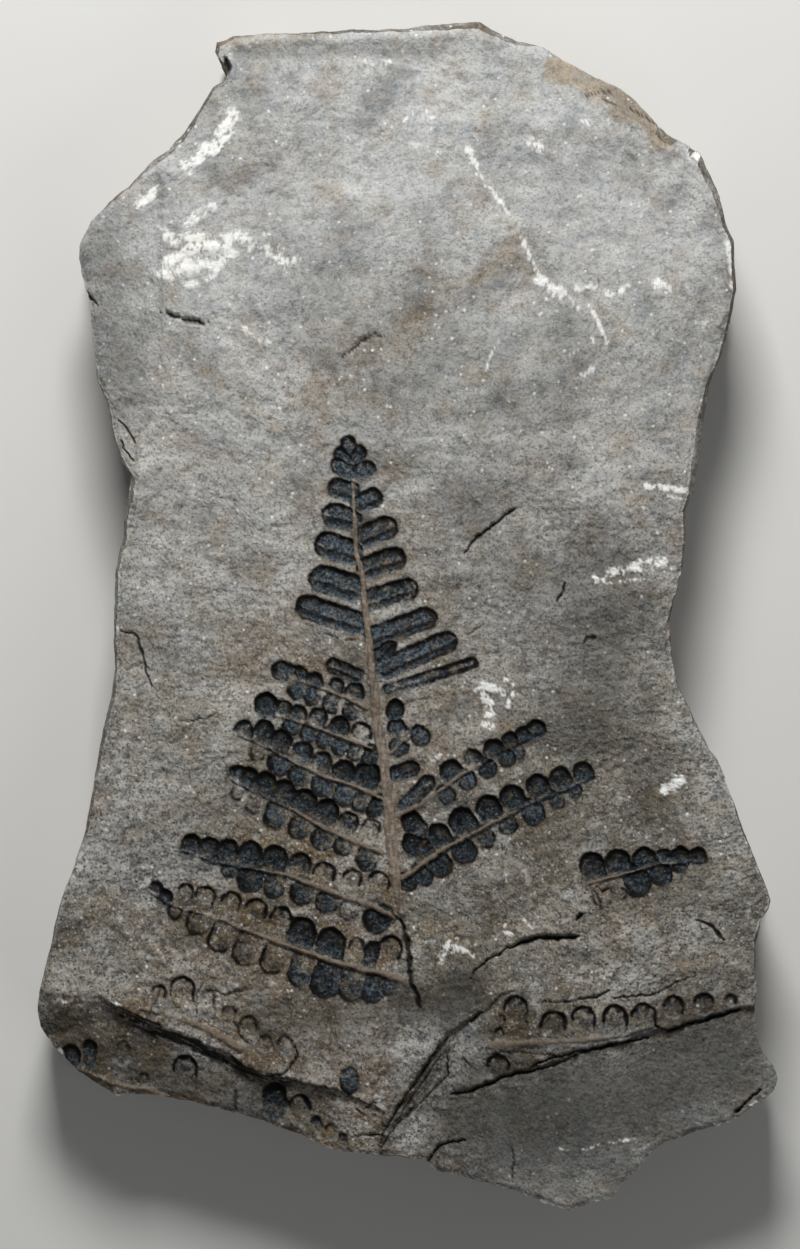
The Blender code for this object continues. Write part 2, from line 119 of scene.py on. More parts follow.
@dataclass(frozen=True)
class Ledge:
    """A part of the face that has spalled down to a lower plane.

    The outline and a step on the upper edge are in steps, the drop there is in mm, and the falls are slopes. The
    scarps are pairs of a step rightwards and how steeply the ledge's edge climbs there, in mm for each step.
    """

    corners: tuple[Spot, ...]
    edge: Spot
    drop: float
    fall_right: float
    fall_down: float
    scarps: tuple[Spot, ...]


LEDGES = (
    Ledge(
        ((150, 140), (158, 194), (159, 230), (157, 280), (161, 313), (158, 350), (166, 389), (164, 426),
         (150, 424), (138, 440), (130, 484), (60, 484), (60, 140)),
        (157, 300), 0.45, -0.15, 0.0, ((0, 0.05), (800, 0.05)),
    ),
    Ledge(
        ((15, 1020), (48, 1036), (75, 1029), (103, 1021), (125, 1022), (147, 1031), (170, 1039), (192, 1047),
         (215, 1057), (233, 1066), (260, 1079), (288, 1082), (330, 1090), (384, 1112), (378, 1190), (15, 1190)),
        (175, 1032), 1.4, -0.08, 0.08, ((40, 0.06), (100, 0.07), (125, 0.14), (233, 0.14), (262, 0.4), (384, 0.4)),
    ),
    Ledge(
        ((478, 0), (490, 33), (520, 60), (545, 74), (575, 88), (600, 100), (640, 120), (665, 136), (704, 166),
         (740, 150), (740, 0)),
        (600, 100), 0.3, 0.42, -0.62, ((0, 0.2), (800, 0.2)),
    ),
    Ledge(
        ((470, 1090), (490, 1083), (519, 1073), (541, 1066), (571, 1055), (622, 1043), (657, 1029), (668, 1031),
         (701, 1021), (740, 1008), (800, 1000), (800, 1235), (380, 1235), (384, 1165), (400, 1142), (420, 1119),
         (445, 1101)),
        (600, 1050), 0.6, 0.02, 0.05, ((380, 0.03), (460, 0.04), (485, 0.3), (520, 0.6), (800, 0.6)),
    ),
    Ledge(
        ((480, 1014), (463, 1024), (446, 1038), (425, 1068), (405, 1098), (387, 1126), (378, 1152), (386, 1152),
         (400, 1128), (415, 1108), (436, 1090), (448, 1076), (449, 1056), (453, 1042), (466, 1028)),
        (430, 1070), 0.65, 0.0, 0.0, ((0, 0.4), (800, 0.4)),
    ),
    Ledge(
        ((763, 1050), (766, 1070), (766, 1088), (752, 1103), (736, 1117), (722, 1128), (730, 1150), (800, 1130),
         (800, 1050)),
        (768, 1085), 0.5, 0.3, 0.1, ((0, 0.5), (800, 0.5)),
    ),
)


class Tone(Enum):
    """How a leaflet is preserved, by the letter that stands for it in the frond's tables.

    Each holds the carbon film over its floor, how blue that film is, how brown the floor is, the depth of its
    pocket and the rise of the pocket's crown in mm, and how strong the painted shadow along its shaded rim is.
    """

    BLACK = ("k", 0.97, 0.35, 0.6, 0.5, 0.24, 1.0)
    BLUE = ("b", 0.76, 0.95, 0.5, 0.42, 0.24, 0.9)
    MIXED = ("m", 0.66, 0.55, 0.6, 0.44, 0.28, 0.95)
    RIMMED = ("r", 0.42, 0.3, 1.0, 0.5, 0.36, 1.0)
    BROWN = ("n", 0.2, 0.35, 0.95, 0.46, 0.4, 0.93)
    FAINT = ("f", 0.14, 0.6, 0.6, 0.38, 0.3, 0.72)
    PALE = ("p", 0.3, 0.7, 0.4, 0.36, 0.3, 0.75)

    def __init__(self, letter: str, film: float, blue: float, brown: float, depth: float, crown: float, crest: float):
        """Names the numbers that a tone is made of."""
        self.letter = letter
        self.numbers = (film, blue, brown, depth, crown, crest)


@dataclass(frozen=True)
class Pinna:
    """A side leaf: its midrib from the main rib out, and the leaflets above and below it.

    A leaflet is the centre of its round end and a radius, in steps. The tones hold one letter for each leaflet.
    """

    rib: tuple[Spot, ...]
    above: tuple[tuple[float, float, float], ...]
    below: tuple[tuple[float, float, float], ...]
    tones_above: str
    tones_below: str
    rib_width: float = 2.3


# The frond's main rib from its tip down: a step and half its width there.
RACHIS = (
    (349, 437, 0.8), (351, 460, 1.0), (353, 490, 2.0), (355, 520, 2.4), (356, 551, 2.7), (360, 567, 3.0),
    (363, 580, 3.1), (365, 605, 3.3), (368, 635, 3.5), (371, 660, 4.0), (374, 690, 4.4), (376, 712, 4.6),
    (379, 735, 5.0), (383, 757, 5.4), (386, 780, 5.8), (388, 802, 6.0), (391, 835, 6.0), (394, 860, 5.6),
    (399, 900, 4.2), (402, 918, 2.2),
)

# Undivided side leaves near the tip, and leaflets of broken fronds: both end centres and a radius, in steps.
TIP_LEAVES = (
    (349, 450, 348, 443, 8), (347, 459, 342, 454, 9), (354, 458, 359, 453, 8.5), (348, 470, 341, 465, 10.5),
    (358, 471, 367, 469, 9.5), (350, 492, 338, 488, 11), (361, 503, 372, 498, 11), (350, 519, 334, 515, 12.5),
    (366, 536, 386, 528, 12.5), (350, 552, 328, 545, 14), (369, 567, 394, 559, 12.5), (352, 588, 323, 579, 14.5),
    (372, 600, 407, 589, 12), (355, 623, 308, 607, 13), (374, 637, 426, 618, 11.5), (379, 655, 389, 646, 7),
    (357, 676, 334, 666, 8.5), (386, 668, 446, 642, 11.5), (388, 690, 472, 663, 6.5), (395, 712, 396, 708, 8),
    (397, 773, 412, 768, 7), (406, 806, 427, 783, 8.5),
)
TIP_TONES = "bbbbbbbbmbmbmbbkmbmkkb"
SCRAPS = (
    (515, 1036, 515, 1008, 12.5), (503, 1020, 503, 1019, 5), (500, 1035, 500, 1033, 6),
    (553.5, 1034, 553.5, 1024, 14), (583.5, 1034, 583.5, 1018, 12.5), (615, 1028, 615, 1018, 13),
    (644, 1022, 644, 1016, 13), (673.5, 1008, 673.5, 1007, 11.5), (704, 1006, 704, 1003, 10.5),
    (731.5, 1001, 731, 1000, 6.5), (497.5, 1070, 497.5, 1067, 12.5), (69.5, 1062, 69.5, 1056, 9),
    (88.5, 1066, 88.5, 1048, 6), (122, 1060, 122, 1050, 8), (143, 1082, 143, 1079, 5),
    (184.5, 1098, 184.5, 1068, 12.5), (274.5, 1110, 274.5, 1096, 11.5), (299.5, 1114, 299.5, 1106, 11.5),
    (349, 1076, 350, 1084, 10), (158, 1003, 159, 992, 8), (182, 1003, 182, 989, 13), (206, 1010, 208, 997, 8),
    (228, 1024, 229, 1013, 8), (249, 1036, 248, 1025, 10), (266, 1046, 265, 1042, 8), (286, 1047, 285, 1044, 9),
    (318, 1127, 316, 1122, 6), (332, 1136, 330, 1130, 6), (344, 1144, 342, 1138, 5),
)
SCRAP_TONES = "rnnrrrrrrnrkkfnrkrbfnfffffbfm"

PINNAE = (
    Pinna(
        ((366, 708), (344, 697), (323, 689), (300, 681)),
        ((282, 671, 11), (298, 676, 11), (314, 682, 10.5), (336, 686, 8.5), (355, 692, 10.5)),
        ((297, 690, 10), (312, 697, 9.5), (331, 705, 9.5), (351, 712, 9.5)),
        "bbbmm", "bbmm", 1.6,
    ),
    Pinna(
        ((372, 748), (344, 738), (323, 730), (303, 723), (270, 714)),
        ((266, 705, 11.5), (283, 710, 10.5), (298, 714, 10), (318, 717, 10), (340, 726, 9.5), (361, 733, 11.5)),
        ((291, 726, 9.5), (309, 734, 9.5), (324, 740, 9.5), (340, 747, 9.5), (355, 753, 9), (369, 759, 8)),
        "kmmmkn", "bbbbmk", 2.0,
    ),
    Pinna(
        ((380, 798), (365, 790), (345, 783), (325, 777), (300, 765), (262, 745), (238, 735)),
        ((244, 730, 10.5), (264, 729, 9), (281, 740, 10.5), (303, 751, 10.5), (322, 762, 11), (344, 772, 11),
         (367, 775, 13)),
        ((257, 754, 8.5), (279, 764, 12.5), (299, 775, 12), (322, 786, 12), (344, 796, 11.5), (360, 803, 10),
         (374, 809, 8)),
        "mkkbbkk", "pbmbbmk", 2.0,
    ),
    Pinna(
        ((382, 852), (355, 842), (325, 828), (310, 820), (290, 808), (250, 790), (232, 780)),
        ((238, 775, 10.5), (249, 778, 10), (266, 782, 9.5), (284, 791, 10.5), (305, 801, 11.5), (327, 811, 11.5),
         (348, 822, 11), (371, 828, 10.5)),
        ((237, 794, 7.5), (253, 807, 8.5), (275, 817, 12), (299, 828, 12), (322, 839, 12), (343, 846, 10.5),
         (367, 860, 12)),
        "bkkkkkmp", "ppbmmmm", 2.6,
    ),
    Pinna(
        ((395, 917), (370, 905), (350, 899), (310, 884), (290, 876), (260, 870), (215, 862), (184, 851)),
        ((191, 845, 9.5), (210, 847, 9), (228, 850, 10), (250, 853, 11.5), (275, 858, 12), (300, 864, 12),
         (324, 874, 12.5), (352, 879, 10.5), (378, 883, 12.5)),
        ((213, 860, 9), (230, 869, 9.5), (250, 880, 12.5), (274, 888, 11.5), (302, 893, 13), (327, 902, 12.5),
         (349, 911, 11), (377, 919, 13.5)),
        "kkkkkmnnn", "bbkmmmpk", 2.8,
    ),
    Pinna(
        ((404, 980), (380, 973), (350, 966), (320, 957), (280, 943), (240, 928), (222, 920), (170, 905), (150, 893)),
        ((156, 889, 8), (164, 898, 8), (186, 892, 9), (205, 896, 11), (231, 902, 11), (256, 910, 12),
         (281, 918, 12), (302, 932, 14), (331, 943, 14.5), (357, 946, 9), (374, 951, 9), (390, 948, 13)),
        ((175, 912, 8.5), (198, 923, 13), (220, 940, 13), (245, 953, 13.5), (272, 962, 13), (300, 974, 13.5),
         (325, 983, 14.5), (352, 988, 14.5), (372, 990, 12), (388, 986, 10)),
        "mknnnrrkkpkr", "nrrrrmkmkm", 3.0,
    ),
    Pinna(
        ((386, 757), (400, 744), (428, 722)),
        ((396, 727, 9.5),),
        ((399, 747, 10.5), (421, 737, 10)),
        "b", "bb", 1.4,
    ),
    Pinna(
        ((398, 815), (420, 805), (430, 797), (445, 787), (460, 775), (480, 765), (500, 752), (540, 732)),
        ((451, 771, 10.5), (473, 759, 10.5), (494, 750, 10), (512, 742, 9.5), (524, 736, 9), (536, 730, 9.5)),
        ((447, 796, 9), (468, 781, 9.5), (488, 769, 8.5), (507, 758, 8.5), (519, 753, 7)),
        "kmkkkk", "bbkkm", 2.3,
    ),
    Pinna(
        ((402, 878), (420, 866), (440, 851), (455, 843), (475, 832), (500, 819), (530, 803), (550, 796), (570, 788),
         (596, 775)),
        ((411, 821, 10), (416, 844, 13), (438, 835, 11), (462, 821, 12.5), (488, 808, 12), (512, 797, 11.5),
         (538, 786, 11), (560, 777, 10), (583, 772, 9.5)),
        ((408, 882, 8.5), (424, 877, 9), (441, 866, 11), (465, 852, 11.5), (488, 840, 9), (508, 825, 10.5),
         (534, 814, 12), (557, 801, 9), (575, 791, 8)),
        "kkkkkkkkk", "kkkkmmbmb", 2.6,
    ),
    Pinna(
        ((586, 884), (611, 877), (637, 870), (660, 864), (704, 862)),
        ((592, 865, 12), (618, 862, 12), (644, 859, 11), (664, 857, 9), (681, 857, 9.5), (698, 857, 8.5)),
        ((603, 898, 11), (619, 891, 10), (637, 883, 13.5), (661, 875, 11), (680, 866, 8)),
        "kkkbkk", "fpkkb", 1.8,
    ),
)

# Ribs of broken fronds, in steps, with half their width.
LOOSE_RIBS = (
    (3.0, ((490, 1046), (530, 1043), (580, 1041), (620, 1036), (660, 1024))),
    (3.0, ((240, 1048), (205, 1028), (175, 1017), (140, 1008))),
    (3.4, ((215, 1113), (180, 1104), (150, 1093), (110, 1084), (76, 1070))),
)

# Open cracks and steps that lie in their own shadow: half the width in steps, depth in mm, and the line.
CRACKS: tuple[Stroke, ...] = (
    (1.3, 0.35, ((388, 905), (395, 915), (403, 922), (406, 935), (407, 945), (410, 955), (408, 968), (412, 978))),
    (3.2, 0.8, ((402, 920), (407, 945), (410, 957), (409, 970), (413, 982))),
    (2.4, 0.7, ((411, 976), (412, 985), (417, 995), (421, 1008))),
    (0.9, 0.6, ((471, 979), (476, 969), (481, 966), (490, 958), (499, 955), (508, 948), (518, 945))),
    (3.3, 1.0, ((512, 947), (524, 942), (541, 938), (558, 938.5), (576, 938))),
    (3.0, 0.9, ((558, 938), (570, 938), (578, 936))),
    (2.4, 0.8, ((576, 921), (579, 917), (583, 913))),
    (1.4, 0.5, ((698, 920), (710, 925), (724, 940))),
    (0.9, 0.3, ((596, 886), (602, 892), (610, 888))),
    (0.9, 0.3, ((594, 892), (600, 902), (603, 910))),
    (0.9, 0.3, ((622, 887), (626, 895))),
    (1.1, 0.3, ((470, 1022), (489, 1009), (499, 997), (514, 990))),
    (1.1, 0.4, ((541, 1000), (557, 1002), (578, 1001), (595, 997), (610, 991))),
    (0.8, 0.3, ((612, 999), (635, 996), (653, 995), (662, 991), (678, 982), (697, 976))),
    (1.8, 0.6, ((530, 1068), (557, 1057), (578, 1052), (605, 1047), (624, 1042), (648, 1038))),
    (1.8, 0.6, ((655, 1026), (668, 1031), (687, 1024), (701, 1022), (718, 1016), (740, 1009))),
    (1.6, 0.6, ((450, 1096), (470, 1091), (489, 1084), (506, 1077), (516, 1073), (528, 1073), (541, 1069))),
    (1.2, 0.4, ((541, 1069), (558, 1064), (577, 1056))),
    (1.0, 0.3, ((486, 1060), (492, 1055), (514, 1052), (535, 1053), (557, 1056))),
    (1.5, 0.5, ((296, 1046), (298, 1056), (291, 1067), (284, 1075), (272, 1075))),
    (0.8, 0.3, ((233, 1015), (240, 1010))),
    (0.9, 0.35, ((234, 1021), (240, 1036), (247, 1042))),
    (0.8, 0.3, ((196, 1017), (197, 995), (202, 983))),
    (0.9, 0.35, ((211, 990), (219, 993), (224, 996), (228, 993), (245, 990))),
    (0.8, 0.3, ((150, 1012), (157, 998), (163, 986))),
    (1.0, 0.35, ((234, 1091), (235, 1112), (233, 1118))),
    (0.9, 0.3, ((350, 1137), (366, 1136), (382, 1136))),
    (0.9, 0.4, ((381, 1148), (387, 1140))),
    (0.9, 0.3, ((342, 1090), (355, 1098))),
    (0.9, 0.3, ((355, 1110), (363, 1114))),
    (0.9, 0.3, ((365, 1108), (375, 1103))),
    (1.5, 0.6, ((762, 1090), (752, 1099), (745, 1105), (736, 1114))),
    (1.6, 0.6, ((427, 1163), (433, 1154), (440, 1147), (452, 1143), (465, 1141))),
    (0.9, 0.3, ((512, 1150), (514, 1162), (513, 1178))),
    (1.0, 0.4, ((120, 630), (137, 635), (143, 655), (147, 675), (152, 686))),
    (0.8, 0.3, ((180, 721), (205, 719), (217, 713))),
    (2.0, 0.6, ((161, 312), (174, 316), (188, 321), (208, 323))),
    (1.0, 0.5, ((82, 288), (90, 298), (97, 305))),
    (0.9, 0.35, ((118, 420), (127, 430), (135, 443))),
    (0.9, 0.35, ((120, 440), (126, 450), (132, 460))),
    (1.4, 0.6, ((464, 552), (477, 538), (490, 528), (503, 517), (517, 508))),
    (0.7, 0.3, ((468, 634), (475, 629), (482, 625))),
    (1.2, 0.35, ((584, 643), (587, 638), (596, 637))),
    (0.9, 0.3, ((323, 634), (330, 635), (337, 637))),
    (0.9, 0.3, ((345, 640), (356, 640))),
    (1.4, 0.4, ((344, 357), (356, 345), (366, 338), (376, 334), (386, 337))),
    (0.6, 0.2, ((585, 96), (597, 92), (612, 91))),
    (0.7, 0.25, ((603, 100), (618, 104))),
    (0.8, 0.3, ((628, 108), (645, 115), (655, 124))),
    (3.2, 0.9, ((225, 58), (228, 66), (226, 76))),
    (1.3, 0.4, ((558, 602), (562, 594), (565, 584))),
    (1.0, 0.4, ((448, 1036), (432, 1056), (418, 1078), (402, 1102), (387, 1126), (379, 1146))),
    (1.2, 0.4, ((447, 1052), (448, 1076), (430, 1094), (413, 1109), (397, 1126), (382, 1146))),
    (0.9, 0.35, ((396, 1122), (412, 1098), (430, 1072), (442, 1054))),
    (0.7, 0.25, ((462, 1058), (470, 1066))),
    (0.8, 0.25, ((770, 912), (764, 921))),
    (0.7, 0.2, ((402, 705), (416, 700), (430, 697))),
)

# Calcite: half the width in steps, how white, and the line of each crust or dash.
CALCITE: tuple[Stroke, ...] = (
    (7.0, 1.0, ((232, 116), (226, 130), (216, 144), (200, 157), (188, 165))),
    (4.0, 0.9, ((138, 205), (150, 196), (158, 190))),
    (5.0, 0.95, ((187, 224), (200, 215), (212, 208))),
    (6.0, 0.8, ((165, 234), (178, 242), (190, 238), (205, 240))),
    (6.0, 1.0, ((170, 262), (186, 250), (205, 246), (222, 246), (232, 252))),
    (6.5, 1.0, ((164, 276), (182, 268), (202, 261), (222, 262))),
    (3.5, 0.8, ((187, 284), (203, 281), (215, 275))),
    (3.4, 0.8, ((222, 236), (230, 240), (228, 247), (221, 243))),
    (2.5, 0.6, ((255, 245), (262, 236), (270, 234))),
    (12, 0.5, ((240, 238), (262, 250), (290, 264))),
    (4.5, 0.45, ((245, 330), (262, 340), (280, 346))),
    (3.5, 0.9, ((469, 150), (474, 160), (477, 172))),
    (2.6, 0.7, ((477, 172), (490, 188), (502, 204))),
    (1.8, 0.5, ((502, 204), (510, 216), (516, 228))),
    (3.2, 0.9, ((522, 240), (525, 247))),
    (2.4, 0.9, ((524, 246), (534, 266), (544, 280))),
    (5.0, 1.0, ((541, 280), (552, 288), (560, 293))),
    (2.6, 0.8, ((556, 290), (568, 297), (577, 308))),
    (2.2, 0.6, ((545, 298), (555, 296))),
    (3.2, 0.8, ((577, 290), (590, 286), (602, 290), (611, 295))),
    (2.6, 0.8, ((620, 292), (628, 285))),
    (4.4, 1.0, ((656, 284), (668, 288))),
    (2.0, 0.8, ((589, 306), (598, 322), (607, 342))),
    (2.4, 0.8, ((586, 334), (596, 345))),
    (1.2, 0.6, ((568, 356), (578, 350))),
    (3.0, 0.7, ((584, 376), (592, 368))),
    (5.0, 1.0, ((532, 145), (540, 149))),
    (4.5, 0.8, ((690, 153), (702, 157))),
    (2.6, 0.6, ((583, 121), (590, 124))),
    (4.0, 0.7, ((726, 232), (729, 250), (732, 270), (735, 290))),
    (2.4, 0.5, ((716, 315), (706, 324), (694, 322))),
    (3.0, 1.0, ((648, 486), (668, 489), (692, 491))),
    (1.4, 0.7, ((668, 496), (680, 499), (690, 502))),
    (6.0, 0.72, ((598, 580), (616, 574), (635, 567), (660, 562))),
    (2.4, 0.5, ((610, 582), (628, 580), (644, 579))),
    (5.0, 0.9, ((480, 690), (487, 700), (493, 710), (487, 722))),
    (4.0, 0.9, ((484, 686), (498, 690), (512, 694))),
    (2.4, 0.8, ((506, 680), (514, 684), (508, 706))),
    (3.0, 0.8, ((490, 716), (492, 728))),
    (2.4, 1.0, ((430, 763), (440, 754))),
    (4.4, 0.9, ((664, 790), (674, 786), (682, 780))),
    (2.0, 0.8, ((674, 774), (679, 776))),
    (3.2, 0.9, ((440, 960), (447, 948), (456, 938))),
    (2.6, 0.9, ((447, 952), (460, 948), (473, 956))),
    (1.8, 0.7, ((452, 936), (458, 950))),
    (2.4, 0.6, ((500, 930), (512, 935))),
    (1.6, 0.6, ((524, 920), (534, 930))),
    (1.6, 0.7, ((498, 342), (490, 356), (486, 372))),
    (5.0, 0.45, ((405, 120), (420, 112), (432, 120))),
    (5.0, 0.4, ((412, 144), (424, 150), (440, 152))),
    (5.0, 0.35, ((350, 60), (380, 66), (400, 52))),
    (4.0, 0.35, ((120, 1012), (132, 1018), (146, 1026))),
    (1.4, 0.5, ((62, 1003), (84, 1000), (106, 1000), (122, 1006))),
    (3.0, 0.6, ((36, 1030), (48, 1044), (62, 1056))),
    (2.6, 0.8, ((88, 1086), (98, 1094), (108, 1101))),
    (2.0, 0.6, ((165, 1101), (180, 1106), (190, 1110))),
    (2.0, 0.5, ((740, 1116), (752, 1106), (764, 1098))),
    (3.0, 0.4, ((600, 1146), (620, 1143), (640, 1138))),
    (2.0, 0.4, ((560, 1150), (580, 1152), (600, 1146))),
)

# Iron stain: half the width in steps, how brown, and the line that it follows.
IRON: tuple[Stroke, ...] = (
    (20, 0.5, ((300, 400), (330, 372), (360, 350), (400, 322))),
    (15, 0.62, ((400, 322), (450, 292), (490, 272), (515, 246))),
    (10, 0.5, ((512, 252), (513, 226))),
    (22, 0.3, ((430, 80), (470, 100), (500, 140))),
    (9, 0.5, ((228, 46), (260, 40), (300, 38))),
    (12, 0.35, ((440, 45), (465, 35), (485, 35))),
    (14, 1.0, ((560, 66), (600, 88), (640, 112), (665, 133))),
    (14, 0.25, ((232, 355), (270, 372), (300, 384))),
    (13, 0.35, ((296, 420), (300, 404), (310, 390))),
    (24, 0.42, ((395, 520), (420, 560), (445, 610))),
    (26, 0.42, ((330, 500), (300, 560), (270, 620))),
    (12, 0.6, ((354, 490), (358, 560), (368, 640), (378, 720), (390, 810), (396, 880))),
    (40, 0.5, ((240, 660), (320, 650), (350, 720))),
    (30, 0.5, ((400, 660), (430, 700), (440, 740))),
    (34, 0.5, ((240, 846), (300, 840), (380, 830), (420, 840))),
    (34, 0.62, ((150, 920), (240, 925), (330, 940))),
    (14, 0.9, ((300, 845), (330, 862), (300, 915), (340, 925))),
    (12, 0.9, ((395, 950), (385, 965))),
    (60, 0.78, ((90, 1030), (180, 1030), (270, 1060), (350, 1100))),
    (40, 0.56, ((180, 975), (280, 1000), (380, 1010))),
    (16, 0.58, ((500, 1035), (560, 1022), (640, 1012), (720, 1000))),
    (12, 0.6, ((520, 1066), (560, 1052), (620, 1040))),
    (10, 0.95, ((80, 1076), (110, 1086), (170, 1101), (260, 1120))),
    (9, 0.9, ((284, 1066), (300, 1070), (312, 1082))),
    (40, 0.4, ((470, 880), (560, 900), (650, 930))),
    (36, 0.4, ((560, 960), (640, 985), (720, 960))),
    (20, 0.3, ((620, 560), (650, 600), (640, 680))),
    (5, 0.8, ((544, 758), (552, 754), (560, 752))),
    (40, 0.2, ((560, 420), (620, 480), (640, 540))),
)

# Paler stone, bruised or freshly broken: half the width in steps, how pale, and the line.
BLEACH: tuple[Stroke, ...] = (
    (6, 0.9, ((226, 46), (260, 40), (300, 38), (345, 36), (400, 33), (440, 30))),
    (5, 0.6, ((440, 48), (485, 45), (497, 65), (520, 80))),
    (60, 0.35, ((300, 140), (400, 170), (470, 230))),
    (40, 0.3, ((560, 190), (640, 230), (700, 240))),
    (36, 0.85, ((196, 240), (240, 262), (276, 288))),
    (16, 0.7, ((300, 384), (312, 396), (330, 380))),
    (10, 0.35, ((160, 190), (163, 260), (165, 330), (150, 400), (135, 443))),
    (26, 0.4, ((160, 580), (180, 640))),
    (30, 0.75, ((345, 1062), (372, 1040), (405, 1028))),
    (26, 0.65, ((385, 1075), (410, 1050), (425, 1030))),
    (14, 1.0, ((452, 1070), (440, 1095), (420, 1120), (404, 1140))),
    (10, 0.6, ((470, 1035), (466, 1052), (480, 1050))),
    (22, 0.45, ((430, 890), (470, 900), (520, 896))),
    (12, 0.5, ((770, 1070), (778, 1085), (760, 1100))),
    (7, 0.5, ((500, 1130), (520, 1126), (530, 1136))),
    (5, 0.5, ((512, 1150), (510, 1165))),
    (20, 0.3, ((480, 600), (520, 620), (560, 600))),
    (10, 0.4, ((110, 600), (112, 660), (104, 720))),
    (16, 0.3, ((690, 720), (712, 770), (735, 840))),
    (44, 0.85, ((110, 850), (150, 868), (185, 880))),
    (50, 0.35, ((560, 940), (640, 960), (720, 940))),
    (40, 0.6, ((520, 1150), (600, 1160), (640, 1180), (700, 1120))),
    (40, 0.3, ((120, 760), (150, 800), (130, 880))),
    (26, 0.4, ((60, 985), (120, 975), (240, 990), (262, 1030))),
    (90, 0.35, ((260, 90), (420, 120), (640, 200))),
)

# Darker stone, partly painted shade: in the lee of the foot's scarp, in the cleft and under the lip at the
# top, and elsewhere darker patches of stone: half the width in steps, how dark, and the line.
SHADE: tuple[Stroke, ...] = (
    # Painted shade under the lip at the top.
    (6, 0.4, ((240, 53), (300, 53), (350, 51), (430, 53))),
    (9, 0.35, ((210, 168), (230, 182), (244, 176))),
    (24, 0.2, ((560, 330), (600, 360), (560, 400))),
    (46, 0.65, ((590, 560), (600, 640), (600, 720))),
    (30, 0.4, ((560, 720), (620, 742), (650, 800))),
    (70, 0.85, ((500, 1120), (600, 1110), (720, 1060))),
    # Painted shadow in the lee of the foot's scarp.
    (5, 0.45, ((140, 1028), (160, 1037), (180, 1046), (200, 1055), (225, 1064), (245, 1072), (262, 1079))),
    (2.5, 0.5, ((262, 1078), (285, 1081), (300, 1083), (330, 1094))),
    (12, 0.5, ((70, 1022), (95, 1014), (122, 1022))),
    (10, 0.45, ((255, 1008), (285, 1018), (312, 1034))),
    (4, 0.6, ((90, 1080), (110, 1088), (130, 1090), (150, 1094), (180, 1100))),
    # Painted shadow in the cleft.
    (10, 0.5, ((442, 1052), (430, 1076), (414, 1096), (400, 1116), (388, 1138))),
    (36, 0.35, ((120, 1040), (200, 1080), (300, 1110))),
    (30, 0.3, ((440, 1000), (480, 990))),
    # Painted shadow at the cleft's upper end.
    (5, 0.45, ((446, 1038), (462, 1022), (482, 1010), (500, 998))),
    (14, 0.3, ((640, 900), (700, 890), (730, 900))),
    (50, 0.35, ((520, 560), (570, 610), (620, 640))),
    (60, 0.3, ((560, 1110), (640, 1100), (740, 1060))),
    (26, 0.6, ((270, 1022), (320, 1018), (380, 1010))),
    (20, 0.25, ((300, 480), (318, 520), (330, 480))),
    (60, 0.3, ((480, 520), (560, 600), (600, 700))),
    (30, 0.75, ((60, 1035), (120, 1060), (200, 1085), (260, 1105))),
    (24, 0.9, ((404, 1000), (440, 1006), (470, 990))),
    (26, 0.45, ((100, 250), (105, 330), (130, 400))),
    (5, 0.5, ((165, 941), (185, 940), (200, 942))),
    (10, 0.35, ((440, 720), (470, 700), (520, 720))),
    (30, 0.25, ((460, 900), (540, 860), (600, 830))),
)

# Where the bedding has splintered: half the width in steps, how much, and the line.
SPLINTERS: tuple[Stroke, ...] = (
    (6, 1.0, ((122, 1018), (150, 1031), (180, 1044), (210, 1055), (245, 1072), (285, 1082))),
    (7, 0.6, ((446, 1050), (434, 1076), (416, 1098), (400, 1120), (387, 1142))),
)


def smooth(low: float, high: float, value: Numbers) -> Numbers:
    """Eases from 0 at low to 1 at high.

    Args:
        low: The value at which the answer leaves 0; it may be the larger of the two.
        high: The value at which it reaches 1.
        value: The values to ease.

    Returns:
        3t^2 - 2t^3, where t is the share of the way from low to high, kept within 0 and 1.
    """
    share = np.clip((value - low) / (high - low), 0, 1)
    return share * share * (3 - 2 * share)


@dataclass(frozen=True)
class Survey:
    """The sheet that the outline and the print are plotted on.

    One step is the plate's length over the sheet's, and the centre is the step over the frame's origin.
    """

    plate_length: float = 150 * MM
    sheet_length: float = 1198.0
    centre: Spot = (406.5, 618.0)

    @property
    def step(self) -> float:
        """Returns one step in metres."""
        return self.plate_length / self.sheet_length

    def place(self, steps: Numbers) -> Numbers:
        """Turns steps into metres on the slab.

        Args:
            steps: Steps of the sheet, in the last axis.

        Returns:
            The step less the centre, times the step's size, with y turned up the slab.
        """
        return (np.asarray(steps, float) - self.centre) * (self.step, -self.step)


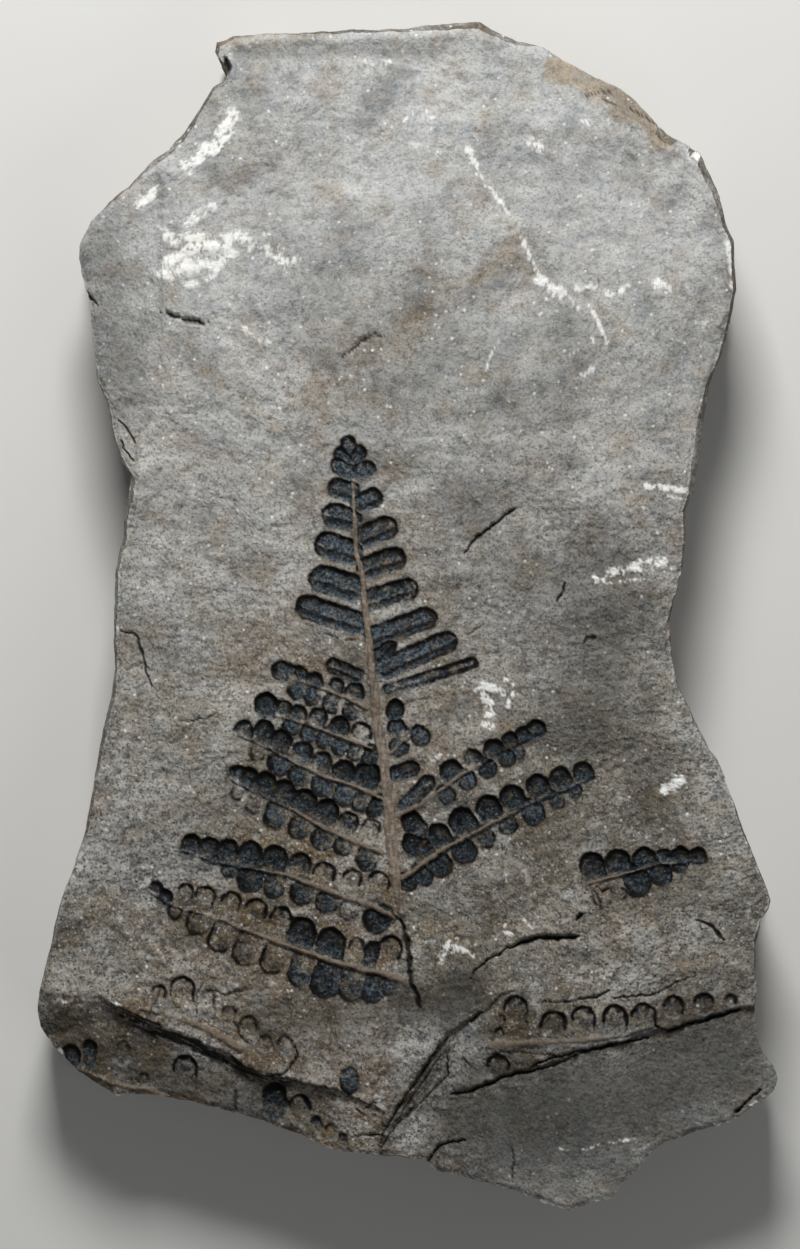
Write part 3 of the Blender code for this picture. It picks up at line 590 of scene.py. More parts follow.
class Grain:
    """Seeded gradient noise, which gives the stone all that is irregular in it.

    The lattice repeats after so many cells, and the gain raises a wave to about -1 to 1. Each octave is weaker
    and finer than the one before, and shifted by so many cells.
    """

    lattice = 64
    gain = 1.5
    weaker = 0.55
    finer = 2.03
    shift = 17.3

    def __init__(self, seed: int) -> None:
        """Draws the slopes that stand at the crossings of the noise's lattice.

        Args:
            seed: The seed, so that each run gives the same stone.
        """
        turn = np.random.default_rng(seed).uniform(0, 2 * math.pi, (self.lattice, self.lattice))
        self.slopes = np.stack([np.cos(turn), np.sin(turn)], -1)

    def wave(self, x: Numbers, y: Numbers) -> Numbers:
        """Works out one octave.

        Args:
            x: First coordinate, in cells of the lattice.
            y: Second coordinate.

        Returns:
            The four corner slopes, each times the way from its corner, blended with 6t^5 - 15t^4 + 10t^3 and
            raised by the gain.
        """
        cell_x, cell_y = np.floor(x), np.floor(y)
        part_x, part_y = x - cell_x, y - cell_y
        i, j = cell_x.astype(int), cell_y.astype(int)
        corners = []
        for down in (0, 1):
            for right in (0, 1):
                slope = self.slopes[(j + down) % self.lattice, (i + right) % self.lattice]
                corners.append(slope[..., 0] * (part_x - right) + slope[..., 1] * (part_y - down))
        ease_x = part_x**3 * (part_x * (part_x * 6 - 15) + 10)
        ease_y = part_y**3 * (part_y * (part_y * 6 - 15) + 10)
        near = corners[0] + ease_x * (corners[1] - corners[0])
        far = corners[2] + ease_x * (corners[3] - corners[2])
        return self.gain * (near + ease_y * (far - near))

    def rough(self, x: Numbers, y: Numbers, size: float, octaves: int = 3, stretch: float = 1.0) -> Numbers:
        """Adds octaves.

        Args:
            x: First coordinate, in steps.
            y: Second coordinate, in steps.
            size: The size of the largest grain along y, in steps.
            octaves: How many octaves are added.
            stretch: How many times longer the grains are along x.

        Returns:
            The sum of the octaves over the sum of their strengths, about -1 to 1.
        """
        total = np.zeros(np.broadcast(x, y).shape)
        strength, whole = 1.0, 0.0
        for octave in range(octaves):
            shift = self.shift * octave
            total += strength * self.wave(x / (size * stretch) + shift, y / size - shift)
            whole += strength
            strength *= self.weaker
            size /= self.finer
        return total / whole

    def shaken(
        self, x: Numbers, y: Numbers, reach: float, size: float, octaves: int, apart: float
    ) -> tuple[Numbers, Numbers]:
        """Moves points about, so that what is plotted with straight lines turns out ragged.

        Args:
            x: Steps rightwards of the points.
            y: Steps down of the points.
            reach: How far they move, in steps.
            size: The size of the largest grain of the noise that moves them.
            octaves: How many octaves that noise has.
            apart: How far apart the noises for x and y are read, in steps.

        Returns:
            The x and y of the moved points.
        """
        moved_x = x + reach * self.rough(x, y, size, octaves)
        return moved_x, y + reach * self.rough(x + apart, y, size, octaves)


def nearby(x: Numbers, y: Numbers, spots: Numbers, reach: float) -> Places:
    """Finds the points that lie within reach of the box round some spots.

    Args:
        x: Steps rightwards of all the points.
        y: Steps down of all the points.
        spots: The spots, one in a row.
        reach: How far outside the box a point may lie.

    Returns:
        The indices of the points found.
    """
    low, high = spots.min(0) - reach, spots.max(0) + reach
    return np.flatnonzero((x > low[0]) & (x < high[0]) & (y > low[1]) & (y < high[1]))


def off_segment(x: Numbers, y: Numbers, start: Numbers, end: Numbers) -> tuple[Numbers, Numbers]:
    """Measures how far points lie from a straight segment.

    Args:
        x: Steps rightwards of the points.
        y: Steps down of the points.
        start: The segment's first end.
        end: Its other end.

    Returns:
        The distance to the nearest place on the segment, and that place's share of the way along it.
    """
    run = end - start
    share = ((x - start[0]) * run[0] + (y - start[1]) * run[1]) / max(float(run @ run), 1e-9)
    share = np.clip(share, 0, 1)
    return np.hypot(x - start[0] - share * run[0], y - start[1] - share * run[1]), share


def off_line(x: Numbers, y: Numbers, line: Sequence[Spot], reach: float) -> tuple[Numbers, Numbers]:
    """Measures how far points lie from a broken line.

    Args:
        x: Steps rightwards of the points.
        y: Steps down of the points.
        line: The line's corners, in steps.
        reach: Distances past this one are not worked out, and read as this one.

    Returns:
        The least of the distances to the line's segments, and how far along the line that is, from 0 to 1.
    """
    spots = np.array(line, float)
    far = np.full(x.shape, float(reach))
    along = np.zeros(x.shape)
    lengths = np.hypot(*np.diff(spots, axis=0).T)
    starts = np.concatenate([[0], np.cumsum(lengths)])
    for i, (start, end) in enumerate(zip(spots, spots[1:])):
        near = nearby(x, y, spots[i : i + 2], reach)
        gap, share = off_segment(x[near], y[near], start, end)
        closer = gap < far[near]
        far[near[closer]] = gap[closer]
        along[near[closer]] = (starts[i] + share[closer] * lengths[i]) / starts[-1]
    return far, along


def depth_inside(x: Numbers, y: Numbers, corners: Sequence[Spot], reach: float) -> Numbers:
    """Measures how far points lie inside an outline.

    Args:
        x: Steps rightwards of the points.
        y: Steps down of the points.
        corners: The outline's corners, in steps.
        reach: The greatest distance that is told apart.

    Returns:
        The distance to the outline, positive inside and negative outside, by counting the sides that a ray to
        the right of each point crosses.
    """
    far, _ = off_line(x, y, (*corners, corners[0]), reach)
    within = np.zeros(x.shape, bool)
    for (ax, ay), (bx, by) in zip(corners, (*corners[1:], corners[0])):
        if ay != by:
            within ^= ((ay > y) != (by > y)) & (x < ax + (y - ay) * (bx - ax) / (by - ay))
    return np.where(within, far, -far)


@dataclass
class Frond:
    """The pressed fronds: sunken leaflets with crowned floors, and the raised ribs between them.

    Widths are in steps and heights in mm. The black swell is added to the radius of black leaflets, the warp is
    how far all lines are shaken, and points far from any leaflet get the depth called outside.
    """

    grain: Grain
    lobed: float = 0.1
    wall: float = 3.4
    # Width in steps of the painted shadow along a pocket's shaded wall.
    crest: float = 7.0
    rib_rise: float = 0.24
    rachis_rise: float = 0.45
    vein_rise: float = 0.15
    black_swell: float = 1.2
    warp: float = 1.3
    outside: float = -6.0
    leaflets: Numbers = field(init=False)
    tones: Numbers = field(init=False)
    groups: Places = field(init=False)

    def __post_init__(self) -> None:
        """Lists every leaflet as two end centres and a radius, with its tone's numbers and its pinna beside it."""
        rows = [(*leaf, *self.way(leaf)) for leaf in (*TIP_LEAVES, *SCRAPS)]
        letters = TIP_TONES + SCRAP_TONES
        groups = list(range(len(PINNAE), len(PINNAE) + len(rows)))
        for group, pinna in enumerate(PINNAE):
            spots = (*pinna.above, *pinna.below)
            rows += [self.leaflet(pinna.rib, *spot) for spot in spots]
            letters += pinna.tones_above + pinna.tones_below
            groups += [group] * len(spots)
        numbers = {tone.letter: tone.numbers for tone in Tone}
        self.leaflets = np.array(rows, float)
        self.tones = np.array([numbers[letter] for letter in letters])
        self.leaflets[:, 4] += self.black_swell * (self.tones[:, 0] > Tone.BLUE.numbers[0])
        self.groups = np.array(groups)

    @staticmethod
    def way(leaf: Sequence[float]) -> tuple[float, float]:
        """Returns the unit way from a leaf's tip to its base, or down the sheet where they lie together."""
        run = (leaf[0] - leaf[2], leaf[1] - leaf[3])
        length = math.hypot(*run)
        return (run[0] / length, run[1] / length) if length > 1 else (0.0, 1.0)

    @staticmethod
    def leaflet(rib: Sequence[Spot], x: float, y: float, radius: float) -> tuple[float, ...]:
        """Runs a leaflet from its round end back towards its midrib.

        Args:
            rib: The midrib's corners, in steps.
            x: Steps rightwards of the centre of the round end.
            y: Steps down of it.
            radius: The leaflet's radius, in steps.

        Returns:
            The centre of its base, the centre of its round end, the radius, and the unit way from the round end
            to the base. The base lies on the way to the nearest place on the rib, short of it by half the
            radius, and at most 1.5 radii from the round end.
        """
        best, corners = (math.inf, x, y), np.array(rib, float)
        for start, end in zip(corners, corners[1:]):
            gap, share = off_segment(np.array(x), np.array(y), start, end)
            spot = start + share * (end - start)
            best = min(best, (float(gap), float(spot[0]), float(spot[1])))
        reach = max(best[0], 1.0)
        length = min(max(reach - 0.5 * radius, 0), 1.5 * radius)
        way_x, way_y = (best[1] - x) / reach, (best[2] - y) / reach
        return x + way_x * length, y + way_y * length, x, y, radius, way_x, way_y

    def ribs(self, x: Numbers, y: Numbers) -> Fields:
        """Finds the ribs.

        Args:
            x: Steps rightwards of the points.
            y: Steps down of the points.

        Returns:
            How far each point lies outside the nearest rib's side, in steps, the rib's height, how plainly it
            shows, and how much the main rib holds the point. A rib's crown is 1 less the square of the distance
            from its middle over half its width, which swells and shrinks along it and narrows outwards.
        """
        gap = np.full(x.shape, 9.0)
        rise, shown = np.zeros(x.shape), np.zeros(x.shape)
        uneven = 1 + 0.55 * self.grain.rough(x, y, 16, 2)
        lines = [(pinna.rib_width * 0.85, pinna.rib) for pinna in PINNAE] + list(LOOSE_RIBS)
        for half, line in lines:
            far, along = off_line(x, y, line, 14)
            width = half * (1.3 - 1.05 * along) * uneven
            gap = np.minimum(gap, far - width)
            rise = np.maximum(rise, self.rib_rise * np.clip(1 - (far / (width + 0.9)) ** 2, 0, 1))
            shown = np.maximum(shown, smooth(0.9, -0.5, far - width) * smooth(1.0, 0.4, along))
        line = np.array(RACHIS)
        far, _ = off_line(x, y, [tuple(spot) for spot in line[:, :2]], 20)
        width = np.interp(y, line[:, 1], line[:, 2]) * (0.5 + 0.5 * uneven)
        beyond = 6 * (smooth(912, 924, y) + smooth(486, 472, y))
        fibre = self.grain.rough(x, y / 7, 2.6, 2)
        crown = np.clip(1 - (far / (width + 0.6)) ** 2, 0, 1) ** 0.7
        body = self.rachis_rise * np.minimum(width / 5, 1) * crown * (1 + 0.45 * fibre)
        rise = np.maximum(rise, body * (beyond < 1))
        held = smooth(1.2, -0.6, far - width + beyond)
        shown, gap = np.maximum(shown, held), np.minimum(gap, far - width + beyond)
        return {"gap": gap, "rise": rise, "shown": shown, "held": held, "fibre": fibre}

    def press(self, x: Numbers, y: Numbers) -> Fields:
        """Works out the print.

        Args:
            x: Steps rightwards of the points.
            y: Steps down of the points.

        Returns:
            The height that the print adds in mm, and shares from 0 to 1 for the carbon film, how blue it is, how
            brown the stone under it is, the ribs, the main rib, and the painted shadow at a pocket's upper side.
        """
        x = x + self.warp * self.grain.rough(x, y, 10, 4)
        y = y + self.warp * self.grain.rough(x + 300, y, 10, 4)
        lobes = 1 + self.lobed * self.grain.rough(x + 60, y, 9, 2)
        best = np.full(x.shape, self.outside)
        second = best.copy()
        over, back = np.zeros(x.shape), np.zeros(x.shape)
        owner, other = np.zeros(x.shape, int), np.zeros(x.shape, int)
        for i, row in enumerate(self.leaflets):
            near = nearby(x, y, row[:4].reshape(2, 2), row[4] * 1.2 + 6)
            far, _ = off_segment(x[near], y[near], row[:2], row[2:4])
            inner = row[4] * lobes[near] - far
            first = inner > best[near]
            other[near] = np.where(first, owner[near], np.where(inner > second[near], i, other[near]))
            second[near] = np.where(first, best[near], np.maximum(second[near], inner))
            best[near] = np.where(first, inner, best[near])
            owner[near[first]] = i
            over[near[first]] = self.over_axis(row, x[near[first]], y[near[first]])
            run = (x[near[first]] - row[2]) * row[5] + (y[near[first]] - row[3]) * row[6]
            back[near[first]] = run / row[4]
        ribs = self.ribs(x, y)
        joined = (self.groups[owner] == self.groups[other]) * smooth(-0.1, 1.0, back)
        dark = self.tones[owner, 0] * self.tones[other, 0] * (second > self.outside + 1)
        seam = 0.6 * (best - second) + 0.4 + 5 * joined + 1.1 * dark
        whole = np.minimum(best, ribs["gap"] + 0.6 + 4 * (1 - ribs["shown"]))
        fields = self.pockets(x, y, np.minimum(best, seam), whole, best, owner, over)
        names = {"rib_height": "rise", "rib": "shown", "rachis": "held", "fibre": "fibre"}
        return fields | {name: ribs[held] for name, held in names.items()}

    @staticmethod
    def over_axis(row: Numbers, x: Numbers, y: Numbers) -> Numbers:
        """Returns how far points lie above a leaflet's axis, in steps, or above its middle where it is round."""
        run = row[2:4] - row[:2]
        length = float(np.hypot(*run))
        if length < 2:
            return row[1] - y
        side = np.array([run[1], -run[0]]) / length
        side = side * (-1 if side[1] > 0 else 1)
        return (x - row[0]) * side[0] + (y - row[1]) * side[1]

    def pockets(
        self, x: Numbers, y: Numbers, edge: Numbers, whole: Numbers, best: Numbers, owner: Places, over: Numbers
    ) -> Fields:
        """Sinks the leaflets and spreads their film.

        Args:
            x: Steps rightwards of the points.
            y: Steps down of the points.
            edge: How far each point lies inside its leaflet's outline, in steps.
            whole: The same where ribs cut into it and neighbours don't.
            best: The same where nothing cuts into it.
            owner: The leaflet that each point lies in.
            over: How far each point lies above its leaflet's axis.

        Returns:
            The pocket as a height in mm, and the film's shares. The floor is the pocket's depth less a crown that
            grows with the depth inside the leaflet and a vein along the axis, and it is deepest towards the
            leaflet's upper side. The painted shadow is a dark strip along the wall of its round end on its shaded
            side, with a thin dark outline there and a painted shade line under the vein. The film is broken by
            specks, is thinned on the side away from the painted shadow, which is partly painted light, and thins
            to a blue bloom towards the leaflet's lower side, which is partly painted highlight on the lit lower wall.
        """
        row, tone = self.leaflets[owner], self.tones[owner].T
        film, blue, brown, depth, crown, crest = tone
        middle = (row[:, 1] + row[:, 3]) / 2
        half = np.abs(row[:, 1] - row[:, 3]) / 2 + row[:, 4]
        up = np.clip((middle - y) / half, -1, 1)
        behind = ((x - row[:, 2]) * row[:, 5] + (y - row[:, 3]) * row[:, 6]) / row[:, 4]
        beside = np.sign(row[:, 6]) * np.clip((x - row[:, 2]) / row[:, 4], -1, 1)
        # How far a point lies towards the side of its leaflet away from the light, where shadow is painted.
        shaded_side = np.where(owner < len(TIP_LEAVES), up, 0.45 * up - 0.75 * np.clip(behind, -1, 1) + 0.3 * beside)
        long = smooth(0.3, 1.0, np.hypot(row[:, 2] - row[:, 0], row[:, 3] - row[:, 1]) / row[:, 4])
        inside = smooth(0, self.wall, np.minimum(edge, 0.6 * (whole + 0.8)))
        round_floor = 1 - (1 - np.clip(best / row[:, 4], 0, 1)) ** 2
        below_axis = over + 0.14 * row[:, 4] + 1.5 * self.grain.rough(x, y, 14, 2)
        long = long * np.where((owner > 4) & (owner < len(TIP_LEAVES)), 1, 0.3)
        vein = long * smooth(2.0, 0.4, np.abs(below_axis)) * smooth(1.5, 4, best)
        # A painted shade line under the vein, where its ridge would shade the floor.
        under_vein_shade = 0.6 * long * smooth(3.4, 0.4, np.abs(below_axis + 3.4)) * smooth(2.5, 5, best)
        uneven = self.grain.rough(x - 400, y, 10, 3)
        sunk = inside * (depth * (0.8 + 0.32 * up + 0.3 * uneven) - crown * round_floor - self.vein_rise * vein)
        speckle = self.grain.rough(x + 90, y + 40, 3.0, 2)
        patch = self.grain.rough(x - 50, y + 170, 10, 3)
        cover = film + (0.3 * speckle + 0.6 * patch) * (0.2 + film * (1 - film) * 2) - 0.15 * vein
        # Less film away from the shaded side: partly painted light.
        cover = cover - 0.4 * smooth(-0.1, -0.9, shaded_side) * (owner >= len(TIP_LEAVES))
        # Painted shadow: a dark strip along the shaded wall, with a thin dark outline.
        wide = np.maximum(self.crest * (0.4 + 0.6 * film + 1.4 * patch), 2.0)
        shadow_strip = smooth(1.3, 0.3, edge / wide) * smooth(-0.3, 0.5, shaded_side) * crest
        thin = (0.85 + 0.7 * patch) * smooth(3.6, 0.8, edge - 1.4 * (1 - film)) * crest
        thin = thin * smooth(-0.9, 0.1, shaded_side + 0.7 * patch)
        shadow_strip = np.maximum(np.maximum(shadow_strip, thin), under_vein_shade * crest)
        # A pale blue bloom on the lower side, partly painted highlight where the lower wall faces the light.
        bloom = smooth(0.0, -0.8, up) * smooth(4.2, 1.2, edge) * (1 - 0.55 * film)
        within = smooth(-2.2, 2.2, whole)
        return {
            "height": -sunk,
            "film": within * np.clip(np.maximum(cover, shadow_strip - 0.2), 0, 1),
            "blue": within * np.clip(blue + 0.5 * patch - 0.3 * up, 0, 1) * (1 - 0.9 * shadow_strip),
            "brown": np.clip(brown + 0.3 * patch, 0, 1) * smooth(-7, 0.5, whole),
            "crest": within * shadow_strip,
            "bloom": within * bloom * (1 - shadow_strip),
        }


@dataclass
class Face:
    """The split face: its bed, the ledges that have spalled from it, its cracks, its print and its stains.

    Heights are in mm. The climb's reach is how far from a ledge its edge may still climb, and the crack's least
    is the least half width of its shadow, both in steps.
    """

    survey: Survey
    grain: Grain
    frond: Frond
    bed_height: float = 17.0
    most: float = 17.95
    lamina: float = 0.2
    climb_reach: float = 60.0
    crack_least: float = 1.15

    def bed(self, x: Numbers, y: Numbers) -> Numbers:
        """Returns the bed's height in mm: a level with Gaussian swells and three long sine waves."""
        height = np.full(x.shape, self.bed_height)
        for middle_x, middle_y, radius_x, radius_y, rise in SWELLS:
            far = ((x - middle_x) / radius_x) ** 2 + ((y - middle_y) / radius_y) ** 2
            height += rise * np.exp(-far)
        for along_x, along_y, rise in WAVES:
            height += rise * np.sin(along_x * x + along_y * y)
        return height

    def spalled(self, x: Numbers, y: Numbers, height: Numbers) -> tuple[Numbers, Numbers]:
        """Drops the ledges.

        Args:
            x: Steps rightwards of the points.
            y: Steps down of the points.
            height: The bed's height in mm.

        Returns:
            The height in mm, and how much of a scarp each point is. Inside its outline a ledge is a plane, and
            outside it climbs by the scarp's slope until it meets the bed. Scarps are broken into laminae, each
            with a flat tread over half its height's run and a riser over the other half.
        """
        shaken = self.grain.shaken(x, y, 4.0, 13, 4, 500)
        floor, rising = height.copy(), np.zeros(x.shape)
        for ledge in LEDGES:
            spot = np.array(ledge.edge, float)
            start = self.bed(spot[:1], spot[1:]) - ledge.drop
            right, down = (x - spot[0]) * ledge.fall_right, (y - spot[1]) * ledge.fall_down
            plane = start - (right + down) * self.survey.step / MM
            outside = np.clip(-depth_inside(*shaken, ledge.corners, self.climb_reach), 0, None)
            steep = np.interp(x, *np.array(ledge.scarps, float).T)
            climb = plane + steep * outside + 40 * (outside >= self.climb_reach)
            rising = np.where(climb < floor, smooth(0, 0.8, outside) * smooth(0.03, 0.1, steep), rising)
            floor = np.minimum(floor, climb)
        rising = rising * smooth(0.05, 0.2, height - floor)
        level = floor / self.lamina + 0.5 * self.grain.rough(x, y, 40, 2)
        share = level - np.floor(level)
        return floor + 0.9 * rising * self.lamina * (smooth(0.5, 1, share) - share), rising

    @staticmethod
    def heel(x: Numbers, y: Numbers) -> Numbers:
        """Returns how much of the heel each point is: the lower right facet, which broke off clean."""
        return smooth(1040, 1090, y + 0.28 * (x - 600)) * smooth(440, 500, x)

    def bedding(self, x: Numbers, y: Numbers) -> Numbers:
        """Returns the streaks of the bedding, about -1 to 1: long grains that fan out from the foot of the frond."""
        right = np.clip(x - 420, 0, None) * 0.42 * smooth(640, 760, y) * smooth(1060, 940, y)
        fan = y + right + 9 * self.grain.rough(x, y, 60, 2)
        return self.grain.rough(x, fan, 5.5, 3, 3.6)

    def roughness(self, x: Numbers, y: Numbers) -> Numbers:
        """Works out the split face's own roughness.

        Args:
            x: Steps rightwards of the points.
            y: Steps down of the points.

        Returns:
            The height in mm of broad waves, of terraces a tenth of a millimetre high that follow a slow wave, of
            the bedding's streaks, which are stronger towards the foot, and of a coarse and a fine grain. The
            heel, which broke off clean, has only the fine grain.
        """
        lower = smooth(380, 900, y)
        slow = self.grain.rough(x, y, 70, 4, 1.5)
        level = 6 * slow + 0.9 * self.grain.rough(x, y, 14, 3, 1.8)
        terrace = np.floor(level) + smooth(0.72, 1, level - np.floor(level))
        pitted = self.grain.rough(x + 700, y, 24, 3, 1.3)
        coarse = (0.05 + 0.08 * lower) * self.bedding(x, y) + 0.24 * slow + 0.085 * terrace + 0.2 * pitted
        return (
            coarse * (1 - 0.75 * self.heel(x, y))
            + (0.08 + 0.05 * lower) * self.grain.rough(x, y, 7, 3)
            + (0.045 + 0.055 * lower) * self.grain.rough(x, y, 2.7, 2)
        )

    def strokes(self, x: Numbers, y: Numbers, strokes: Sequence[Stroke], ragged: float, soft: float) -> Numbers:
        """Lays strokes with broken edges.

        Args:
            x: Steps rightwards of the points.
            y: Steps down of the points.
            strokes: Half a width, a strength and a line each.
            ragged: How far noise moves a stroke's side, as a share of its half width.
            soft: How wide a stroke's side fades, as a share of its half width.

        Returns:
            The strongest of the strokes at each point, from 0 to 1.
        """
        total = np.zeros(x.shape)
        for half, strength, line in strokes:
            far, _ = off_line(x, y, line, half * (1.5 + ragged + soft))
            near = np.flatnonzero(far < half * (1.45 + ragged + soft))
            noise = self.grain.rough(x[near] + half * 31, y[near], min(max(half * 1.2, 4), 26), 4)
            side = half * (1 + ragged * noise)
            share = strength * smooth(1, -1, (far[near] - side) / (half * soft))
            total[near] = np.maximum(total[near], share)
        return total

    def cracked(self, x: Numbers, y: Numbers) -> tuple[Numbers, Numbers]:
        """Opens the cracks.

        Args:
            x: Steps rightwards of the points.
            y: Steps down of the points.

        Returns:
            The cracks' depth in mm, which falls from the middle to the sides as the square root of the share of
            the width left, and the painted shadow that darkens them. The painted shadow has a least half width, so
            that it has no gaps.
        """
        shaken = self.grain.shaken(x, y, 3.2, 12, 5, 200)
        depth, dark = np.zeros(x.shape), np.zeros(x.shape)
        for half, deep, line in CRACKS:
            far, along = off_line(*shaken, line, half + 4)
            width = half * (0.3 + 0.7 * smooth(0, 0.3, along) * smooth(1, 0.8, along)) + 0.25
            width = width * (1 + 0.6 * self.grain.rough(x + 80, y, 12, 2))
            depth = np.maximum(depth, deep * np.sqrt(np.clip(1 - far / width, 0, 1)))
            shadow = smooth(1.2, 0.4, far / np.maximum(width, self.crack_least))
            dark = np.maximum(dark, shadow * min(1.0, 0.5 + deep))
        return depth, dark

    def relief(self, x: Numbers, y: Numbers, rim: Numbers) -> Fields:
        """Works out everything that the face holds at some points.

        Args:
            x: Steps rightwards of the points.
            y: Steps down of the points.
            rim: How far each point lies from the slab's rim, in steps.

        Returns:
            The height in metres, and the shares that the stone's finish reads. The height is the bed with its
            ledges, less the cracks, plus the print, the roughness, the calcite crusts and the lip at the top.
        """
        height, scarp = self.spalled(x, y, self.bed(x, y))
        press = self.frond.press(x, y)
        crack, dark = self.cracked(x, y)
        crust = 1.6 * self.grain.rough(x, y, 11, 4, 1.2) + 0.9 * self.grain.rough(x, y, 3.4, 2)
        calcite = smooth(0.25, 0.6, self.strokes(x, y, CALCITE, 0.7, 1.1) * (0.75 + crust))
        printed = np.clip(press["film"] + press["rib"], 0, 1)
        lip = smooth(14, 4, rim) * smooth(520, 430, x) * smooth(90, 60, y)
        groove = self.strokes(x, y, SHADE[:1], 0.3, 0.8)
        height = height + press["height"] + press["rib_height"]
        height += self.roughness(x, y) * (1 - 0.6 * printed) + 0.07 * calcite + 0.3 * lip - 0.25 * groove
        height -= crack
        chip = self.grain.rough(x, y, 22, 3)
        height -= (0.22 + 0.3 * smooth(0, 0.6, chip)) * smooth(5 + 5 * np.clip(chip, 0, 1), 0, rim)
        weather = np.clip(smooth(60, 1050, y) + 0.25 * self.grain.rough(x, y, 160, 3), 0, 1)
        foot = smooth(500, 470, x) * smooth(105, 140, x) * smooth(380, 400, y)
        names = ("film", "blue", "brown", "rib", "rachis", "fibre", "crest", "bloom")
        return {name: press[name] for name in names} | {
            "height": np.minimum(height, self.most) * MM,
            "calcite": calcite,
            "iron": self.strokes(x, y, IRON, 0.5, 0.9),
            "bleach": np.maximum(self.strokes(x, y, BLEACH, 0.6, 0.8), 0.7 * smooth(4, 0, rim)),
            # Painted shade: the shade strokes, and the scarps darkened where they face away from the light.
            "shade": np.maximum(self.strokes(x, y, SHADE, 0.4, 0.8), 0.4 * scarp),
            "scarp": np.maximum(scarp * foot, self.strokes(x, y, SPLINTERS, 0.5, 0.9)),
            # Painted shadow in the cracks.
            "dark": dark,
            "fall": smooth(360, 400, x),
            "bedding": np.clip(0.5 + 0.5 * self.bedding(x, y), 0, 1),
            "weather": weather * (1 - 0.55 * self.heel(x, y)),
        }


class Side(Enum):
    """The sides of the outline, clockwise."""

    TOP = TOP_SIDE
    RIGHT = RIGHT_SIDE
    BOTTOM = BOTTOM_SIDE
    LEFT = LEFT_SIDE


class Rim:
    """The broken edge: where its wall stands at each height, all round the outline."""

    calming = 14
    shrinking = 0.86

    def __init__(self, survey: Survey, grain: Grain, setback_wave: float = 0.55, ragged: float = 0.3) -> None:
        """Finds the way inwards from each corner: towards the outline smoothed out and shrunk.

        Args:
            survey: The sheet that the outline is plotted on.
            grain: The noise that breaks the wall up.
            setback_wave: How far a stratum's set-back swings about its mean, in mm.
            ragged: How far the noise takes the wall back, in mm.
        """
        corners = survey.place(np.array([spot for side in Side for spot in side.value[:-1]]))
        calm = corners.copy()
        for _ in range(self.calming):
            calm = (np.roll(calm, 1, axis=0) + 2 * calm + np.roll(calm, -1, axis=0)) / 4
        way = self.shrinking * calm - corners
        way /= np.linalg.norm(way, axis=1, keepdims=True)
        turn = np.linspace(0, 2 * math.pi, len(corners), endpoint=False)
        table = np.column_stack([corners, way, turn])
        self.table = np.vstack([table, table[:1]])
        self.table[-1, 4] = 2 * math.pi
        self.along = np.concatenate([[0], np.cumsum(np.hypot(*np.diff(self.table[:, :2], axis=0).T))])
        self.grain, self.setback_wave, self.ragged = grain, setback_wave, ragged

    def stations(self, side: Side, shares: Numbers) -> Numbers:
        """Reads the outline at places along one side.

        Args:
            side: The side.
            shares: Shares of the side's length, from 0 to 1.

        Returns:
            For each place its x and y, the way inwards, the turn round the outline, and the length so far.
        """
        first = sum(len(other.value) - 1 for other in list(Side)[: list(Side).index(side)])
        start, end = self.along[first], self.along[first + len(side.value) - 1]
        at = start + shares * (end - start)
        return np.column_stack([np.interp(at, self.along, column) for column in self.table.T] + [at])

    def wall(self, stations: Numbers, height: Numbers) -> Numbers:
        """Stands the wall at a height.

        Args:
            stations: Rows from stations().
            height: The height in mm at each of them.

        Returns:
            The x and y of the wall: the outline, moved inwards by the stratum's set-back, which is its mean plus
            two sine waves round the outline and runs evenly between strata, and by noise drawn out along the bed.
        """
        turn, along = stations[:, 4], stations[:, 5] / MM
        rows = []
        for layer, (_, mean) in enumerate(STRATA):
            half = layer // 2
            wave = np.sin(turn * (7 + half) + half) + np.sin(turn * (17 - half) + 2 * half)
            rows.append(np.clip(mean + self.setback_wave * wave * min(mean, 1), 0, None))
        heights = np.array([height for height, _ in STRATA])
        layer = np.clip(np.searchsorted(heights, height, side="right") - 1, 0, len(STRATA) - 2)
        share = (height - heights[layer]) / (heights[layer + 1] - heights[layer])
        table, place = np.array(rows), np.arange(len(turn))
        setback = table[layer, place] * (1 - share) + table[layer + 1, place] * share
        noise = 0.6 * self.grain.rough(along, height, 1.3, 3, 5.0) + 0.7 * self.grain.rough(along, height / 3, 2.2, 3)
        setback = setback + self.ragged * np.clip(0.55 + noise, 0, 1)
        return stations[:, :2] + stations[:, 2:4] * setback[:, None] * MM


class Band(Enum):
    """The bands that share the shell out, from the top down, with the rows that each takes."""

    CROWN = ("crown", 124)
    SHOULDER = ("shoulder", 147)
    WAIST = ("waist", 147)
    HEART = ("heart", 147)
    FOOT = ("foot", 125)


class Part(Enum):
    """What a face of the shell belongs to, with its place among a band's materials."""

    FACE = 0
    EDGE = 1
    UNDERSIDE = 2


@dataclass
class Patch:
    """Faces of one kind: their vertices, their corners on the band's map, and what they belong to."""

    corners: Places
    places: Numbers
    part: Part


# Windows of a band's map, as left, low, right and high.
FACE_MAP: Window = (0.004, 0.27, 0.996, 0.996)
END_MAP: Window = (0.004, 0.14, 0.996, 0.25)
RIGHT_MAP: Window = (0.004, 0.004, 0.196, 0.12)
UNDERSIDE_MAP: Window = (0.254, 0.004, 0.746, 0.12)
LEFT_MAP: Window = (0.804, 0.004, 0.996, 0.12)

# Levels of the wall in mm, from just under the rim down to the underside.
WALL_LEVELS = (
    16.3, 15.8, 15.4, 15.0, 14.6, 14.2, 13.8, 13.3, 12.7, 12.0, 11.3, 10.6, 9.9, 9.6, 8.8, 8.0, 7.2, 6.4, 5.6,
    4.9, 4.6, 3.8, 3.0, 2.3, 1.6, 1.0, 0.5, 0.0,
)


